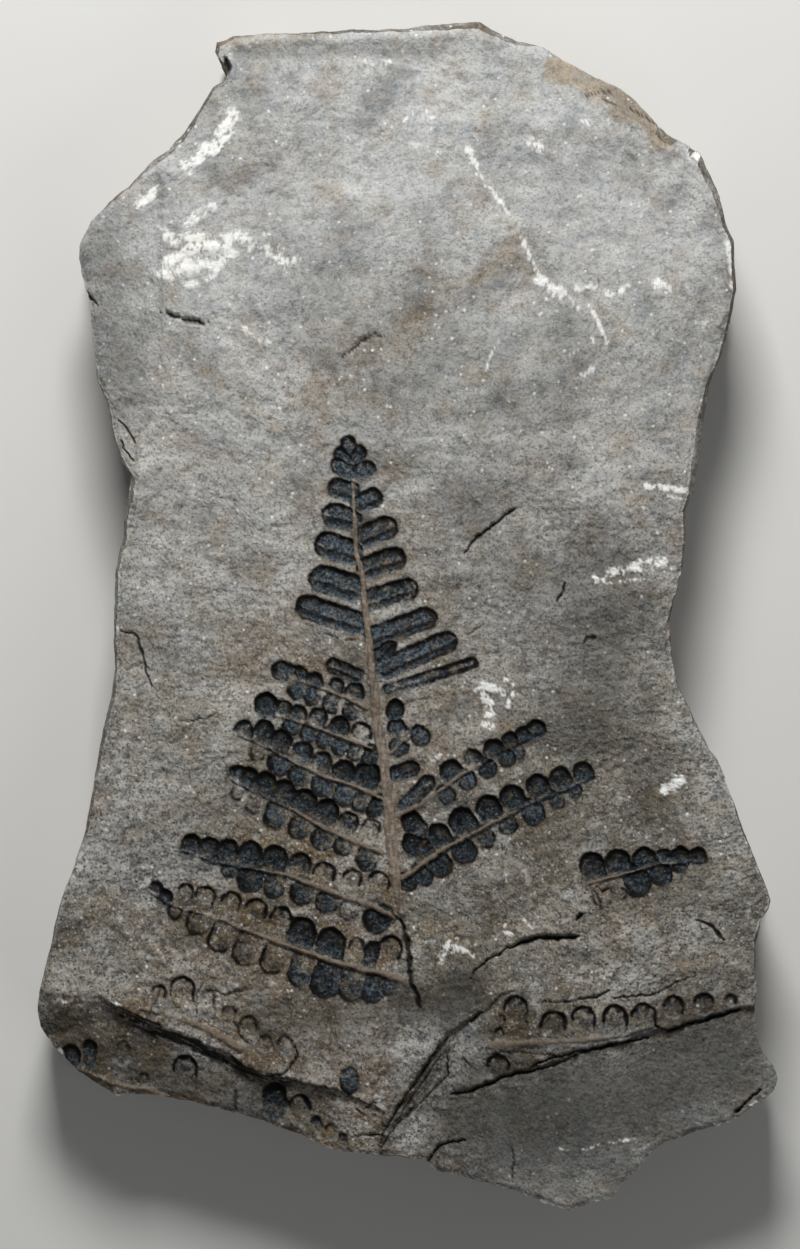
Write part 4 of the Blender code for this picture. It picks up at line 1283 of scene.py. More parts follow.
@dataclass
class Shell:
    """The slab's whole surface, as a sleeve of rows that run round it, with a wall at each end.

    The underside's rise and the least distance between two levels, the squash, are in mm. Relaxing and settling
    are how many times the face's grid is relaxed and the rim is settled.
    """

    survey: Survey
    rim: Rim
    face: Face
    grain: Grain
    columns: int = 560
    under_columns: int = 56
    underside_rise: float = 0.16
    squash: float = 0.02
    relaxing: int = 100
    settling: int = 7

    def __post_init__(self) -> None:
        """Counts the rows and lays the numbers of the sleeve's vertices out."""
        self.rows = sum(band.value[1] for band in Band)
        self.levels = len(WALL_LEVELS)
        self.round = self.columns + 2 * self.levels + self.under_columns
        self.sleeve = np.arange((self.rows + 1) * self.round).reshape(self.rows + 1, self.round)
        self.base = self.columns + self.levels

    def row_shares(self) -> Numbers:
        """Returns the rows' shares of the way down, closer together over the frond than above it."""
        share = np.linspace(0, 1, 400)
        density = 0.5 + 0.5 * smooth(0.32, 0.4, share) - 0.12 * smooth(0.86, 0.9, share)
        so_far = np.concatenate([[0], np.cumsum((density[1:] + density[:-1]) / 2)])
        return np.interp(np.linspace(0, so_far[-1], self.rows + 1), so_far, share)

    @staticmethod
    def span(top: Numbers, bottom: Numbers, left: Numbers, right: Numbers, down: Numbers) -> Numbers:
        """Fills four border lines.

        Args:
            top: The points of the top border, from the left.
            bottom: The points of the bottom border, from the left.
            left: The points of the left border, from the top.
            right: The points of the right border, from the top.
            down: The rows' shares of the way down.

        Returns:
            The Coons patch: top and bottom blended down the rows, plus left and right blended across the
            columns, less the four corners blended both ways.
        """
        v = down[:, None, None]
        u = np.linspace(0, 1, len(top))[None, :, None]
        blend = (1 - v) * top[None] + v * bottom[None] + (1 - u) * left[:, None] + u * right[:, None]
        upper = (1 - u) * top[0] + u * top[-1]
        lower = (1 - u) * bottom[0] + u * bottom[-1]
        return blend - (1 - v) * upper - v * lower

    def read_face(self, places: Numbers, rim: Numbers | None = None) -> Fields:
        """Reads what the face holds.

        Args:
            places: Places on the slab, in metres.
            rim: The line of the face's border, in metres, or none where the places are on it.

        Returns:
            The fields of the face's relief.
        """
        x, y = self.steps(places)
        if rim is None:
            return self.face.relief(x, y, np.zeros(len(x)))
        line = np.column_stack(self.steps(rim))
        edge, _ = off_line(x, y, [tuple(spot) for spot in line], 24)
        return self.face.relief(x, y, edge)

    def steps(self, places: Numbers) -> tuple[Numbers, Numbers]:
        """Returns places on the slab as steps rightwards and down the sheet."""
        centre, step = self.survey.centre, self.survey.step
        return places[..., 0] / step + centre[0], centre[1] - places[..., 1] / step

    def settle(self, stations: Numbers) -> tuple[Numbers, Numbers]:
        """Finds where the wall meets the face.

        Args:
            stations: Rows from the rim's stations().

        Returns:
            The x and y, and the height in mm. The wall at a height and the face's height over it are worked out
            in turn until they agree.
        """
        height = np.full(len(stations), self.face.bed_height)
        for _ in range(self.settling):
            places = self.rim.wall(stations, height)
            height = 0.35 * height + 0.65 * self.read_face(places)["height"] / MM
        return self.rim.wall(stations, height), height

    def shape(self) -> tuple[Numbers, Fields]:
        """Works out the whole surface.

        Returns:
            The place of every vertex, first the sleeve's, row by row, and then those of the two end walls; and
            the shares that the finishes read there.
        """
        down = self.row_shares()
        across, coarse = np.linspace(0, 1, self.columns + 1), np.linspace(0, 1, self.under_columns + 1)
        sides = {
            Side.TOP: self.rim.stations(Side.TOP, across),
            Side.BOTTOM: self.rim.stations(Side.BOTTOM, 1 - across),
            Side.LEFT: self.rim.stations(Side.LEFT, 1 - down),
            Side.RIGHT: self.rim.stations(Side.RIGHT, down),
        }
        settled = {side: self.settle(stations)[0] for side, stations in sides.items()}
        order = (Side.TOP, Side.BOTTOM, Side.LEFT, Side.RIGHT)
        plan = self.relaxed(self.span(*(settled[side] for side in order), down))
        ring = [settled[Side.TOP], settled[Side.RIGHT], settled[Side.BOTTOM][::-1], settled[Side.LEFT][::-1]]
        fields = self.read_face(plan.reshape(-1, 2), np.vstack([line[:-1:7] for line in ring] + [ring[0][:1]]))
        height = fields.pop("height").reshape(plan.shape[:2])
        LOG.info("face: %d points, %.2f to %.2f mm high", height.size, height.min() / MM, height.max() / MM)
        self.warn_of_folds(plan)
        low = {side: self.rim.wall(stations, np.zeros(len(stations))) for side, stations in sides.items()}
        step = self.columns // self.under_columns
        under = self.span(low[Side.TOP][::step], low[Side.BOTTOM][::step], low[Side.LEFT], low[Side.RIGHT], down)
        rise = self.underside(under, down, coarse)
        left = self.wall_rows(sides[Side.LEFT], plan[:, 0], height[:, 0])
        right = self.wall_rows(sides[Side.RIGHT], plan[:, -1], height[:, -1])
        ends = [
            self.wall_rows(sides[side], plan[row], height[row])[1:-1, 1:]
            for side, row in ((Side.TOP, 0), (Side.BOTTOM, -1))
        ]
        sleeve = np.zeros((self.rows + 1, self.round, 3))
        sleeve[:, : self.columns + 1] = np.concatenate([plan, height[..., None]], -1)
        sleeve[:, self.columns + 1 : self.base] = right[:, 1:-1]
        far = self.base + self.under_columns + 1
        sleeve[:, self.base : far] = np.concatenate([under, rise[..., None]], -1)[:, ::-1]
        sleeve[:, far:] = left[:, 1:-1][:, ::-1]
        points = np.concatenate([sleeve.reshape(-1, 3)] + [end.reshape(-1, 3) for end in ends])
        return self.within_box(points), self.spread(fields, len(points))

    def relaxed(self, plan: Numbers) -> Numbers:
        """Takes the folds out of a grid.

        Args:
            plan: The x and y of its points, by row and column.

        Returns:
            The grid with every inner point moved to the mean of its four neighbours, time after time.
        """
        for _ in range(self.relaxing):
            plan[1:-1, 1:-1] = (plan[:-2, 1:-1] + plan[2:, 1:-1] + plan[1:-1, :-2] + plan[1:-1, 2:]) / 4
        return plan

    def warn_of_folds(self, plan: Numbers) -> None:
        """Logs how many of the face's cells are folded over: those whose corner sweeps the wrong way."""
        right, below = np.diff(plan, axis=1)[:-1], np.diff(plan, axis=0)[:, :-1]
        area = right[..., 1] * below[..., 0] - right[..., 0] * below[..., 1]
        LOG.info("face: %d cells, %d folded", area.size, int((area <= 0).sum()))

    def underside(self, under: Numbers, down: Numbers, across: Numbers) -> Numbers:
        """Returns how far the underside rises off its lowest plane, in metres: noise, faded to nothing at the rim."""
        x, y = self.steps(under)
        fade = smooth(0, 0.04, across)[None] * smooth(1, 0.96, across)[None]
        fade = fade * (smooth(0, 0.03, down) * smooth(1, 0.97, down))[:, None]
        return self.underside_rise * MM * fade * np.clip(0.5 + 1.2 * self.grain.rough(x, y, 60, 3), 0, 1)

    def wall_rows(self, stations: Numbers, rim: Numbers, height: Numbers) -> Numbers:
        """Hangs the wall from the rim.

        Args:
            stations: Rows from the rim's stations().
            rim: The x and y of the face's border there.
            height: The height of that border, in metres.

        Returns:
            For each station the places of the rim and of each level under it. A level that would stand above a
            low rim is pressed down to lie just under the level above it.
        """
        rows = [np.column_stack([rim, height])]
        for level, stated in enumerate(WALL_LEVELS):
            z = np.minimum(stated, height / MM - (level + 1) * self.squash)
            z = np.maximum(z, (self.levels - level - 1) * self.squash)
            rows.append(np.column_stack([self.rim.wall(stations, z), z * MM]))
        return np.stack(rows, axis=1)

    def within_box(self, points: Numbers) -> Numbers:
        """Returns the points kept inside the CAD node's box."""
        low, high = (np.array(corner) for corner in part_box(NODE))
        return np.clip(points, low + 1e-6, high - 1e-6)

    def spread(self, fields: Fields, count: int) -> Fields:
        """Returns the face's fields over all the vertices, 0 on the walls and the underside."""
        spread = {}
        for name, values in fields.items():
            whole = np.zeros(count)
            sleeve = whole[: self.sleeve.size].reshape(self.sleeve.shape)
            sleeve[:, : self.columns + 1] = values.reshape(self.rows + 1, -1)
            spread[name] = whole
        return spread

    def end_grid(self, row: int, offset: int) -> Places:
        """Numbers the vertices of an end wall.

        Args:
            row: The sleeve's row that the wall closes.
            offset: The number of the first vertex that belongs to the wall alone.

        Returns:
            The vertices by level and column. The rim, both sides and every tenth vertex of the base are the
            sleeve's own.
        """
        grid = np.zeros((self.levels + 1, self.columns + 1), np.int64)
        own = offset + np.arange((self.columns - 1) * self.levels).reshape(self.columns - 1, self.levels)
        grid[1:, 1:-1] = own.T
        grid[0] = self.sleeve[row, : self.columns + 1]
        grid[:, -1] = self.sleeve[row, self.columns : self.base + 1]
        left = self.sleeve[row, self.base + self.under_columns :]
        grid[1:, 0] = left[::-1]
        grid[-1, :: self.columns // self.under_columns] = self.underside_row(row)[::-1]
        return grid

    def underside_row(self, row: int) -> Places:
        """Returns the numbers of a row's vertices on the underside, from the right to the left."""
        return self.sleeve[row, self.base : self.base + self.under_columns + 1]

    def patches(self, band: Band) -> list[Patch]:
        """Lists the faces of a band.

        Args:
            band: The band.

        Returns:
            The patches of its split face, its walls, its underside and, at the slab's ends, its end wall.
        """
        order = list(Band)
        first = sum(other.value[1] for other in order[: order.index(band)])
        last = first + band.value[1]
        ring = np.concatenate([self.sleeve, self.sleeve[:, :1]], axis=1)
        top, bottom = first == 0, last == self.rows
        face, base, far = self.columns, self.base, self.base + self.under_columns
        grids = [
            (ring[first : last + 1, : face + 1], FACE_MAP, Part.FACE),
            (ring[first : last + 1, face : base + 1], RIGHT_MAP, Part.EDGE),
            (ring[first + top : last + 1 - bottom, base : far + 1], UNDERSIDE_MAP, Part.UNDERSIDE),
            (ring[first : last + 1, far:], LEFT_MAP, Part.EDGE),
        ]
        patches = [self.cells(grid, self.chart(grid.shape, window), part) for grid, window, part in grids]
        own = (self.columns - 1) * self.levels
        ends = [(0, 1, 0)] * top + [(self.rows, self.rows - 1, own)] * bottom
        for row, near, offset in ends:
            grid = self.end_grid(row, self.sleeve.size + offset)
            patches.append(self.cells(grid, self.chart(grid.shape, END_MAP), Part.EDGE, row == 0))
            patches.append(self.stitches(grid[-1], self.underside_row(near), row == 0))
        return patches

    @staticmethod
    def chart(shape: tuple[int, ...], window: Window) -> Numbers:
        """Returns a place on the map for every point of a grid, spread evenly over a window of it."""
        left, low, right, high = window
        u, v = np.meshgrid(np.linspace(left, right, shape[1]), np.linspace(high, low, shape[0]))
        return np.stack([u, v], -1)

    @staticmethod
    def cells(grid: Places, chart: Numbers, part: Part, turned: bool = False) -> Patch:
        """Makes the faces of a grid.

        Args:
            grid: The vertices' numbers, by row and column.
            chart: The same points' places on the map.
            part: What the faces belong to.
            turned: Whether the faces look the other way.

        Returns:
            One four-cornered face for each cell: down, right, up and back to the start.
        """
        corners = [(slice(None, -1), slice(None, -1)), (slice(1, None), slice(None, -1))]
        corners += [(slice(1, None), slice(1, None)), (slice(None, -1), slice(1, None))]
        if turned:
            corners = corners[::-1]
        faces = np.stack([grid[corner] for corner in corners], -1).reshape(-1, 4)
        return Patch(faces, np.stack([chart[corner] for corner in corners], -2).reshape(-1, 4, 2), part)

    def stitches(self, base: Places, near: Places, at_top: bool) -> Patch:
        """Joins the fine foot of an end wall to the coarser underside.

        Args:
            base: The vertices along the foot of the wall, from the left.
            near: The vertices of the underside's next row, from the right.
            at_top: Whether the wall closes the slab's upper end.

        Returns:
            One face of many corners for each column of the underside.
        """
        step = self.columns // self.under_columns
        near = near[::-1]
        count = self.under_columns
        foot = np.stack([base[i : i + count * step : step][:count] for i in range(step)], -1)
        foot = np.concatenate([foot, base[step::step][:, None]], -1)
        inner = np.stack([near[1:], near[:-1]], -1)
        faces = np.concatenate([foot, inner], -1)
        edges = np.linspace(UNDERSIDE_MAP[0], UNDERSIDE_MAP[2], count + 1)[:, None]
        left, right = edges[:-1], edges[1:]
        share = np.linspace(0, 1, step + 1)[None]
        u = np.concatenate([left * (1 - share) + right * share, right, left], -1)
        low = np.concatenate([np.zeros((count, step + 1)), np.ones((count, 2))], -1)
        v = UNDERSIDE_MAP[3] + 0.001 * (2 - low) if at_top else (UNDERSIDE_MAP[1] - 0.001) * low
        places = np.stack([u, v], -1)
        if not at_top:
            faces, places = faces[:, ::-1], places[:, ::-1]
        return Patch(faces, places, Part.UNDERSIDE)

    def normals(self, points: Numbers) -> Numbers:
        """Works out the shell's own normals, which the bands share along their borders.

        Args:
            points: The place of every vertex.

        Returns:
            For each vertex the sum of the normals of the triangles round it, each weighed by its area, at
            length 1.
        """
        total = np.zeros(points.shape)
        for patch in (patch for band in Band for patch in self.patches(band)):
            first = patch.corners[:, 0]
            for i in range(1, patch.corners.shape[1] - 1):
                second, third = patch.corners[:, i], patch.corners[:, i + 1]
                cross = np.cross(points[second] - points[first], points[third] - points[first])
                for corner in (first, second, third):
                    for axis in range(3):
                        total[:, axis] += np.bincount(corner, cross[:, axis], len(points))
        return total / np.maximum(np.linalg.norm(total, axis=1, keepdims=True), 1e-12)

    def build(self, finishes: Mapping[Part, bpy.types.Material]) -> list[bpy.types.Object]:
        """Makes the bands.

        Args:
            finishes: The material of each part of the shell.

        Returns:
            One mesh object for each band.
        """
        points, fields = self.shape()
        normals = self.normals(points)
        made = []
        for band in Band:
            mesh = self.mesh(band, points, fields, normals)
            for part in Part:
                mesh.materials.append(finishes[part])
            made.append(bpy.data.objects.new(f"slab_{band.value[0]}", mesh))
            bpy.context.collection.objects.link(made[-1])
            triangles = sum(len(patch.corners) * (patch.corners.shape[1] - 2) for patch in self.patches(band))
            LOG.info("%s: %d triangles", made[-1].name, triangles)
        return made

    def mesh(self, band: Band, points: Numbers, fields: Fields, normals: Numbers) -> bpy.types.Mesh:
        """Puts a band into a mesh.

        Args:
            band: The band.
            points: The place of every vertex of the shell.
            fields: The shares that the finishes read, over the same vertices.
            normals: The shell's normals, over the same vertices.

        Returns:
            The mesh, with its map, its shares as attributes and its normals.
        """
        patches = self.patches(band)
        used, corners = np.unique(np.concatenate([patch.corners.ravel() for patch in patches]), return_inverse=True)
        sizes = np.concatenate([np.full(len(patch.corners), patch.corners.shape[1]) for patch in patches])
        mesh = bpy.data.meshes.new(f"slab_{band.value[0]}")
        mesh.vertices.add(len(used))
        mesh.loops.add(len(corners))
        mesh.polygons.add(len(sizes))
        mesh.vertices.foreach_set("co", points[used].astype(np.float32).ravel())
        mesh.loops.foreach_set("vertex_index", corners.astype(np.int32))
        starts = np.concatenate([[0], np.cumsum(sizes)[:-1]])
        mesh.polygons.foreach_set("loop_start", starts.astype(np.int32))
        parts = np.concatenate([np.full(len(patch.corners), patch.part.value) for patch in patches])
        mesh.polygons.foreach_set("material_index", parts.astype(np.int32))
        mesh.polygons.foreach_set("use_smooth", np.ones(len(sizes), bool))
        places = np.concatenate([patch.places.reshape(-1, 2) for patch in patches])
        mesh.uv_layers.new(name="OFBake").data.foreach_set("uv", places.astype(np.float32).ravel())
        for name, values in fields.items():
            layer = mesh.attributes.new(name, "FLOAT", "POINT")
            layer.data.foreach_set("value", values[used].astype(np.float32))
        mesh.update(calc_edges=True)
        mesh.validate()
        mesh.normals_split_custom_set_from_vertices(normals[used])
        return mesh


def linear(code: str) -> tuple[float, float, float, float]:
    """Turns a colour from sRGB to linear.

    Args:
        code: Six hex digits after a #.

    Returns:
        Red, green, blue and an alpha of 1. Each is v / 12.92 up to 0.04045, and ((v + 0.055) / 1.055)^2.4 above.
    """
    values = [int(code[i : i + 2], 16) / 255 for i in (1, 3, 5)]
    red, green, blue = (v / 12.92 if v <= 0.04045 else ((v + 0.055) / 1.055) ** 2.4 for v in values)
    return red, green, blue, 1.0


def add_node(
    material: bpy.types.Material, kind: str, inputs: Mapping[str | int, object], **settings: object
) -> bpy.types.Node:
    """Adds a node to a material.

    Args:
        material: The material.
        kind: The node's type.
        inputs: For each input by its name or number, the output socket that feeds it, a colour's code, or a value.
        settings: The node's own settings.

    Returns:
        The node.
    """
    node = material.node_tree.nodes.new(kind)
    for name, value in settings.items():
        setattr(node, name, value)
    for name, value in inputs.items():
        if isinstance(value, bpy.types.NodeSocket):
            material.node_tree.links.new(value, node.inputs[name])
        else:
            node.inputs[name].default_value = linear(value) if isinstance(value, str) else value
    return node


@dataclass(frozen=True)
class Shale:
    """Slaty shale, split by hand along its bedding: matt and finely granular, with the dust of its own powder.

    Sizes are in metres, so that a pattern's scale is one over its size.
    """

    name: str = "shale, split along the bedding"
    pale: str = "#C9CAC8"
    warm: str = "#898070"
    grain_dark: str = "#464440"
    grain_pale: str = "#D2D0CA"
    tint_warm: str = "#93784F"
    tint_cool: str = "#7F8D99"
    iron: str = "#7C6140"
    iron_pale: str = "#A38D6E"
    # Darkens the bedding's streaks, and paints shade.
    shade: str = "#353430"
    roughness: float = 0.78
    specular: float = 0.12
    # Silt grains are about 0.05 mm; drawn at 0.3 mm and more, since finer ones don't show at this distance.
    fine_grain: float = 0.34 * MM
    coarse_grain: float = 1.1 * MM
    clouds: float = 9 * MM
    # Flakes of mica are under 0.1 mm; about one in 2 mm is drawn, at twice its size.
    mica: float = 1.2 * MM
    mica_tone: str = "#F4F3EE"

    def laid(self, material: bpy.types.Material, below: object, *layers: tuple[object, ...]) -> bpy.types.NodeSocket:
        """Lays colours over one another.

        Args:
            material: The material.
            below: The colour underneath, as a socket or a code.
            layers: For each its colour, and the sockets and numbers whose product says how much of it shows.

        Returns:
            The socket of the colours together.
        """
        for colour, shown, *others in layers:
            for other in others:
                inputs = {0: shown, 1: other}
                shown = add_node(material, "ShaderNodeMath", inputs, operation="MULTIPLY").outputs[0]
            inputs = {0: shown, 6: below, 7: colour}
            below = add_node(material, "ShaderNodeMix", inputs, data_type="RGBA").outputs[2]
        return below

    def share(
        self, material: bpy.types.Material, name: str, low: float = 0.0, high: float = 1.0
    ) -> bpy.types.NodeSocket:
        """Returns the socket of a share that the mesh holds, stretched so that low reads 0 and high reads 1."""
        held = add_node(material, "ShaderNodeAttribute", {}, attribute_name=name)
        inputs = {"Value": held.outputs["Fac"], "From Min": low, "From Max": high}
        return add_node(material, "ShaderNodeMapRange", inputs).outputs[0]

    def noise(
        self, material: bpy.types.Material, size: float, low: float, high: float, detail: float = 3.0,
        stretch: tuple[float, float, float] = (1, 1, 1), turn: float = 0.0,
    ) -> bpy.types.NodeSocket:
        """Spreads noise over the stone.

        Args:
            material: The material.
            size: The size of the largest grains in metres.
            low: The noise that reads 0.
            high: The noise that reads 1.
            detail: How many octaves finer it goes.
            stretch: How much longer the grains are along each axis.
            turn: The degrees that those axes are turned anticlockwise.

        Returns:
            The socket of the noise.
        """
        place = add_node(material, "ShaderNodeTexCoord", {}).outputs["Object"]
        inputs = {"Vector": place, "Rotation": (0, 0, math.radians(turn)), "Scale": stretch}
        place = add_node(material, "ShaderNodeMapping", inputs, vector_type="TEXTURE").outputs[0]
        inputs = {"Vector": place, "Scale": 1 / size, "Detail": detail, "Roughness": 0.62}
        noise = add_node(material, "ShaderNodeTexNoise", inputs)
        spread = {"Value": noise.outputs[0], "From Min": low, "From Max": high}
        return add_node(material, "ShaderNodeMapRange", spread).outputs[0]

    def ragged(
        self, material: bpy.types.Material, name: str, size: float, amount: float, soft: float = 0.15,
        level: float = 0.5,
    ) -> bpy.types.NodeSocket:
        """Breaks up the border of a share that the mesh holds.

        Args:
            material: The material.
            name: The share's name.
            size: The size in metres of the largest bites out of its border.
            amount: How far the noise reaches into the share.
            soft: How gently the border fades.
            level: The share at which the border lies.

        Returns:
            The socket of the share with noise of that amount added, eased from 0 to 1 about the level.
        """
        noise = self.noise(material, size, 0.25, 0.75, 4)
        inputs = {0: noise, 1: amount, 2: self.share(material, name)}
        total = add_node(material, "ShaderNodeMath", inputs, operation="MULTIPLY_ADD").outputs[0]
        middle = level + amount / 2
        inputs = {"Value": total, "From Min": middle - soft, "From Max": middle + soft}
        return add_node(material, "ShaderNodeMapRange", inputs).outputs[0]

    def start(self) -> bpy.types.Material:
        """Returns a new material with no nodes in it."""
        material = bpy.data.materials.new(self.name)
        material.use_nodes = True
        material.node_tree.nodes.clear()
        return material

    def close(
        self, material: bpy.types.Material, colour: bpy.types.NodeSocket, rough: object, bump: bpy.types.NodeSocket,
        depth: float,
    ) -> bpy.types.Material:
        """Ends a material with its shader.

        Args:
            material: The material.
            colour: Its colour.
            rough: Its roughness.
            bump: The height that its finest relief follows.
            depth: How deep that relief is, in metres.

        Returns:
            The material.
        """
        relief = add_node(material, "ShaderNodeBump", {"Height": bump, "Distance": depth, "Strength": 1.0})
        inputs = {"Base Color": colour, "Roughness": rough, "Specular IOR Level": self.specular}
        shader = add_node(material, "ShaderNodeBsdfPrincipled", inputs | {"Normal": relief.outputs[0]})
        add_node(material, "ShaderNodeOutputMaterial", {"Surface": shader.outputs[0]})
        return material

    def granular(self, material: bpy.types.Material, stone: object, strength: object) -> bpy.types.NodeSocket:
        """Spreads the stone's haze, its warm and cool tints, its grains and its specks of mica.

        Args:
            material: The material.
            stone: The colour that they lie on.
            strength: How strong the grains are.

        Returns:
            The socket of the colour. Each layer is a noise's high or low end, laid over those before it.
        """
        haze = (
            (self.clouds * 2.6, 0.51, 0.68, self.grain_dark, 0.4),
            (self.clouds * 1.9, 0.48, 0.33, self.grain_pale, 0.7),
            (self.clouds, 0.52, 0.66, self.grain_dark, 0.45),
            (self.clouds * 0.7, 0.48, 0.34, self.grain_pale, 0.55),
            (4.1 * MM, 0.5, 0.66, self.tint_warm, 0.34),
            (3.3 * MM, 0.46, 0.34, self.tint_cool, 0.3),
        )
        for size, low, high, tone, share in haze:
            stone = self.laid(material, stone, (tone, self.noise(material, size, low, high, 6), share))
        grains = (
            (self.coarse_grain, 0.5, 0.64, self.grain_dark, 0.65),
            (self.fine_grain, 0.5, 0.64, self.grain_dark, 0.95),
            (self.coarse_grain * 1.2, 0.44, 0.29, self.grain_pale, 0.5),
            (self.fine_grain * 1.1, 0.43, 0.28, self.grain_pale, 0.8),
        )
        for size, low, high, tone, share in grains:
            stone = self.laid(material, stone, (tone, self.noise(material, size, low, high), share, strength))
        place = add_node(material, "ShaderNodeTexCoord", {}).outputs["Object"]
        mica = add_node(material, "ShaderNodeTexVoronoi", {"Vector": place, "Scale": 1 / self.mica})
        inputs = {"Value": mica.outputs["Distance"], "From Min": 0.22, "From Max": 0.1}
        speck = add_node(material, "ShaderNodeMapRange", inputs).outputs[0]
        held = self.noise(material, self.mica * 1.4, 0.46, 0.58)
        return self.laid(material, stone, (self.mica_tone, speck, held, 0.8))


@dataclass(frozen=True)
class PrintedShale(Shale):
    """The split face: shale with the plant's coaly film, calcite, iron stain and the scars of the hammer."""

    film_black: str = "#0D1012"
    film_blue: str = "#252E35"
    film_light: str = "#65727C"
    # Pale bloom on the leaflets' lower sides, partly painted highlight on the lit lower wall.
    bloom: str = "#8E979B"
    fleck: str = "#9A9D99"
    dusk: str = "#39322A"
    brown_floor: str = "#6C5A3E"
    rib: str = "#A29485"
    rib_side: str = "#84776A"
    rib_dark: str = "#5C5145"
    calcite: str = "#FAF9F4"
    # The black of painted shadow on the leaflets' shaded rims and in the cracks; it also draws the splinter lines.
    crest: str = "#08090A"
    # A softer painted shadow under the leaflets' shaded rims.
    soft_painted_shadow: str = "#1B1611"
    film_roughness: float = 0.55

    def make(self) -> bpy.types.Material:
        """Makes the finish: each thing on the face laid over the stone by the share that the mesh holds for it."""
        material = self.start()
        ways = (self.share, self.noise, self.ragged, self.laid)
        share, noise, ragged, laid = (partial(way, material) for way in ways)
        stain = ragged("iron", 2.2 * MM, 0.6, 0.3)
        stone = laid(
            self.pale,
            (self.warm, share("weather")),
            (self.pale, share("bleach", 0, 1.2)),
            (laid(self.iron_pale, (self.iron, share("weather", 0.1, 0.6))), stain, 0.7),
            (self.brown_floor, share("brown"), 0.85),
        )
        stone = self.granular(material, stone, share("weather", -0.6, 1.0))
        rib = laid(
            self.rib_side,
            (self.rib, share("rachis")),
            (self.rib_dark, noise(0.7 * MM, 0.42, 0.66), 0.8),
            (self.iron, stain, 0.25),
            (self.rib_dark, share("fibre", 0.1, -0.3), share("rachis"), 0.8),
        )
        carbon = laid(
            self.film_black,
            (laid(self.film_blue, (self.film_light, noise(0.4 * MM, 0.44, 0.7))), ragged("blue", 0.8 * MM, 0.8, 0.45)),
            (self.brown_floor, noise(1.1 * MM, 0.54, 0.7, 4), 0.45),
            (self.fleck, noise(0.36 * MM, 0.65, 0.73, 2), 0.5),
        )
        film = ragged("film", 0.55 * MM, 0.8, 0.16)
        # The splinters lean one way in the foot's left scarp and the other way in the cleft right of it.
        splinters = laid(
            noise(0.55 * MM, 0.43, 0.49, 3, (7, 1, 1), -25),
            (noise(0.5 * MM, 0.46, 0.53, 3, (6, 1, 1), 48), share("fall")),
        )
        colour = laid(
            stone,
            (self.shade, share("bedding", 0.42, 0.15), share("weather", 0.2, 1.4), 0.4),
            # Painted shade, with darker patches of stone.
            (self.shade, share("shade"), 0.85),
            (self.dusk, share("film"), 0.8),
            (rib, ragged("rib", 0.8 * MM, 0.5, 0.3), 0.8),
            (carbon, film),
            # The bloom, partly painted highlight.
            (self.bloom, ragged("bloom", 0.5 * MM, 0.8, 0.35), 0.5),
            # Painted shadow along the leaflets' shaded rims, soft and then hard.
            (self.soft_painted_shadow, share("crest", 0.1, 0.8), 0.8),
            (self.crest, ragged("crest", 0.6 * MM, 0.7, 0.25, 0.66), 0.9),
            # Painted shadow in the cracks.
            (self.crest, share("dark"), 0.92),
            (self.crest, splinters, share("scarp"), 0.9),
            (self.calcite, share("calcite")),
        )
        inputs = {"Value": film, "To Min": self.roughness, "To Max": self.film_roughness}
        rough = add_node(material, "ShaderNodeMapRange", inputs).outputs[0]
        return self.close(material, colour, rough, noise(0.45 * MM, 0, 1, 5), 0.2 * MM)


@dataclass(frozen=True)
class BrokenShale(Shale):
    """The broken edge: shale snapped across the bedding, which shows as thin darker and paler laminae."""

    name: str = "shale, broken across the bedding"
    pale: str = "#8F8B83"
    warm: str = "#6A645B"
    lamina: float = 1.6 * MM

    def make(self) -> bpy.types.Material:
        """Makes the finish: laminae from noise drawn out thirty times along the bedding, and iron in clouds."""
        material = self.start()
        noise = partial(self.noise, material)
        stone = self.laid(material, self.warm, (self.pale, noise(self.lamina, 0.35, 0.65, 4, (30, 30, 1))))
        stone = self.granular(material, stone, 0.7)
        stone = self.laid(material, stone, (self.iron, noise(14 * MM, 0.52, 0.72, 3, (1, 1, 0.4)), 0.6))
        inputs = {0: noise(self.lamina / 2, 0, 1, 5, (16, 16, 1)), 1: 1.6, 2: noise(0.6 * MM, 0, 1, 4)}
        relief = add_node(material, "ShaderNodeMath", inputs, operation="MULTIPLY_ADD").outputs[0]
        return self.close(material, stone, self.roughness, relief, 0.3 * MM)


@dataclass(frozen=True)
class Underside(Shale):
    """The underside: another plane of the bedding, never cleaned, browner and dusty."""

    name: str = "shale, weathered underside"
    pale: str = "#8E877B"
    warm: str = "#6B6257"

    def make(self) -> bpy.types.Material:
        """Makes the finish: broad clouds of two tones under the stone's grain."""
        material = self.start()
        noise = partial(self.noise, material)
        stone = self.laid(material, self.pale, (self.warm, noise(22 * MM, 0.35, 0.65, 5)))
        stone = self.granular(material, stone, 0.7)
        stone = self.laid(material, stone, (self.iron, noise(17 * MM, 0.55, 0.7, 4), 0.5))
        return self.close(material, stone, self.roughness, noise(0.8 * MM, 0, 1, 5), 0.25 * MM)


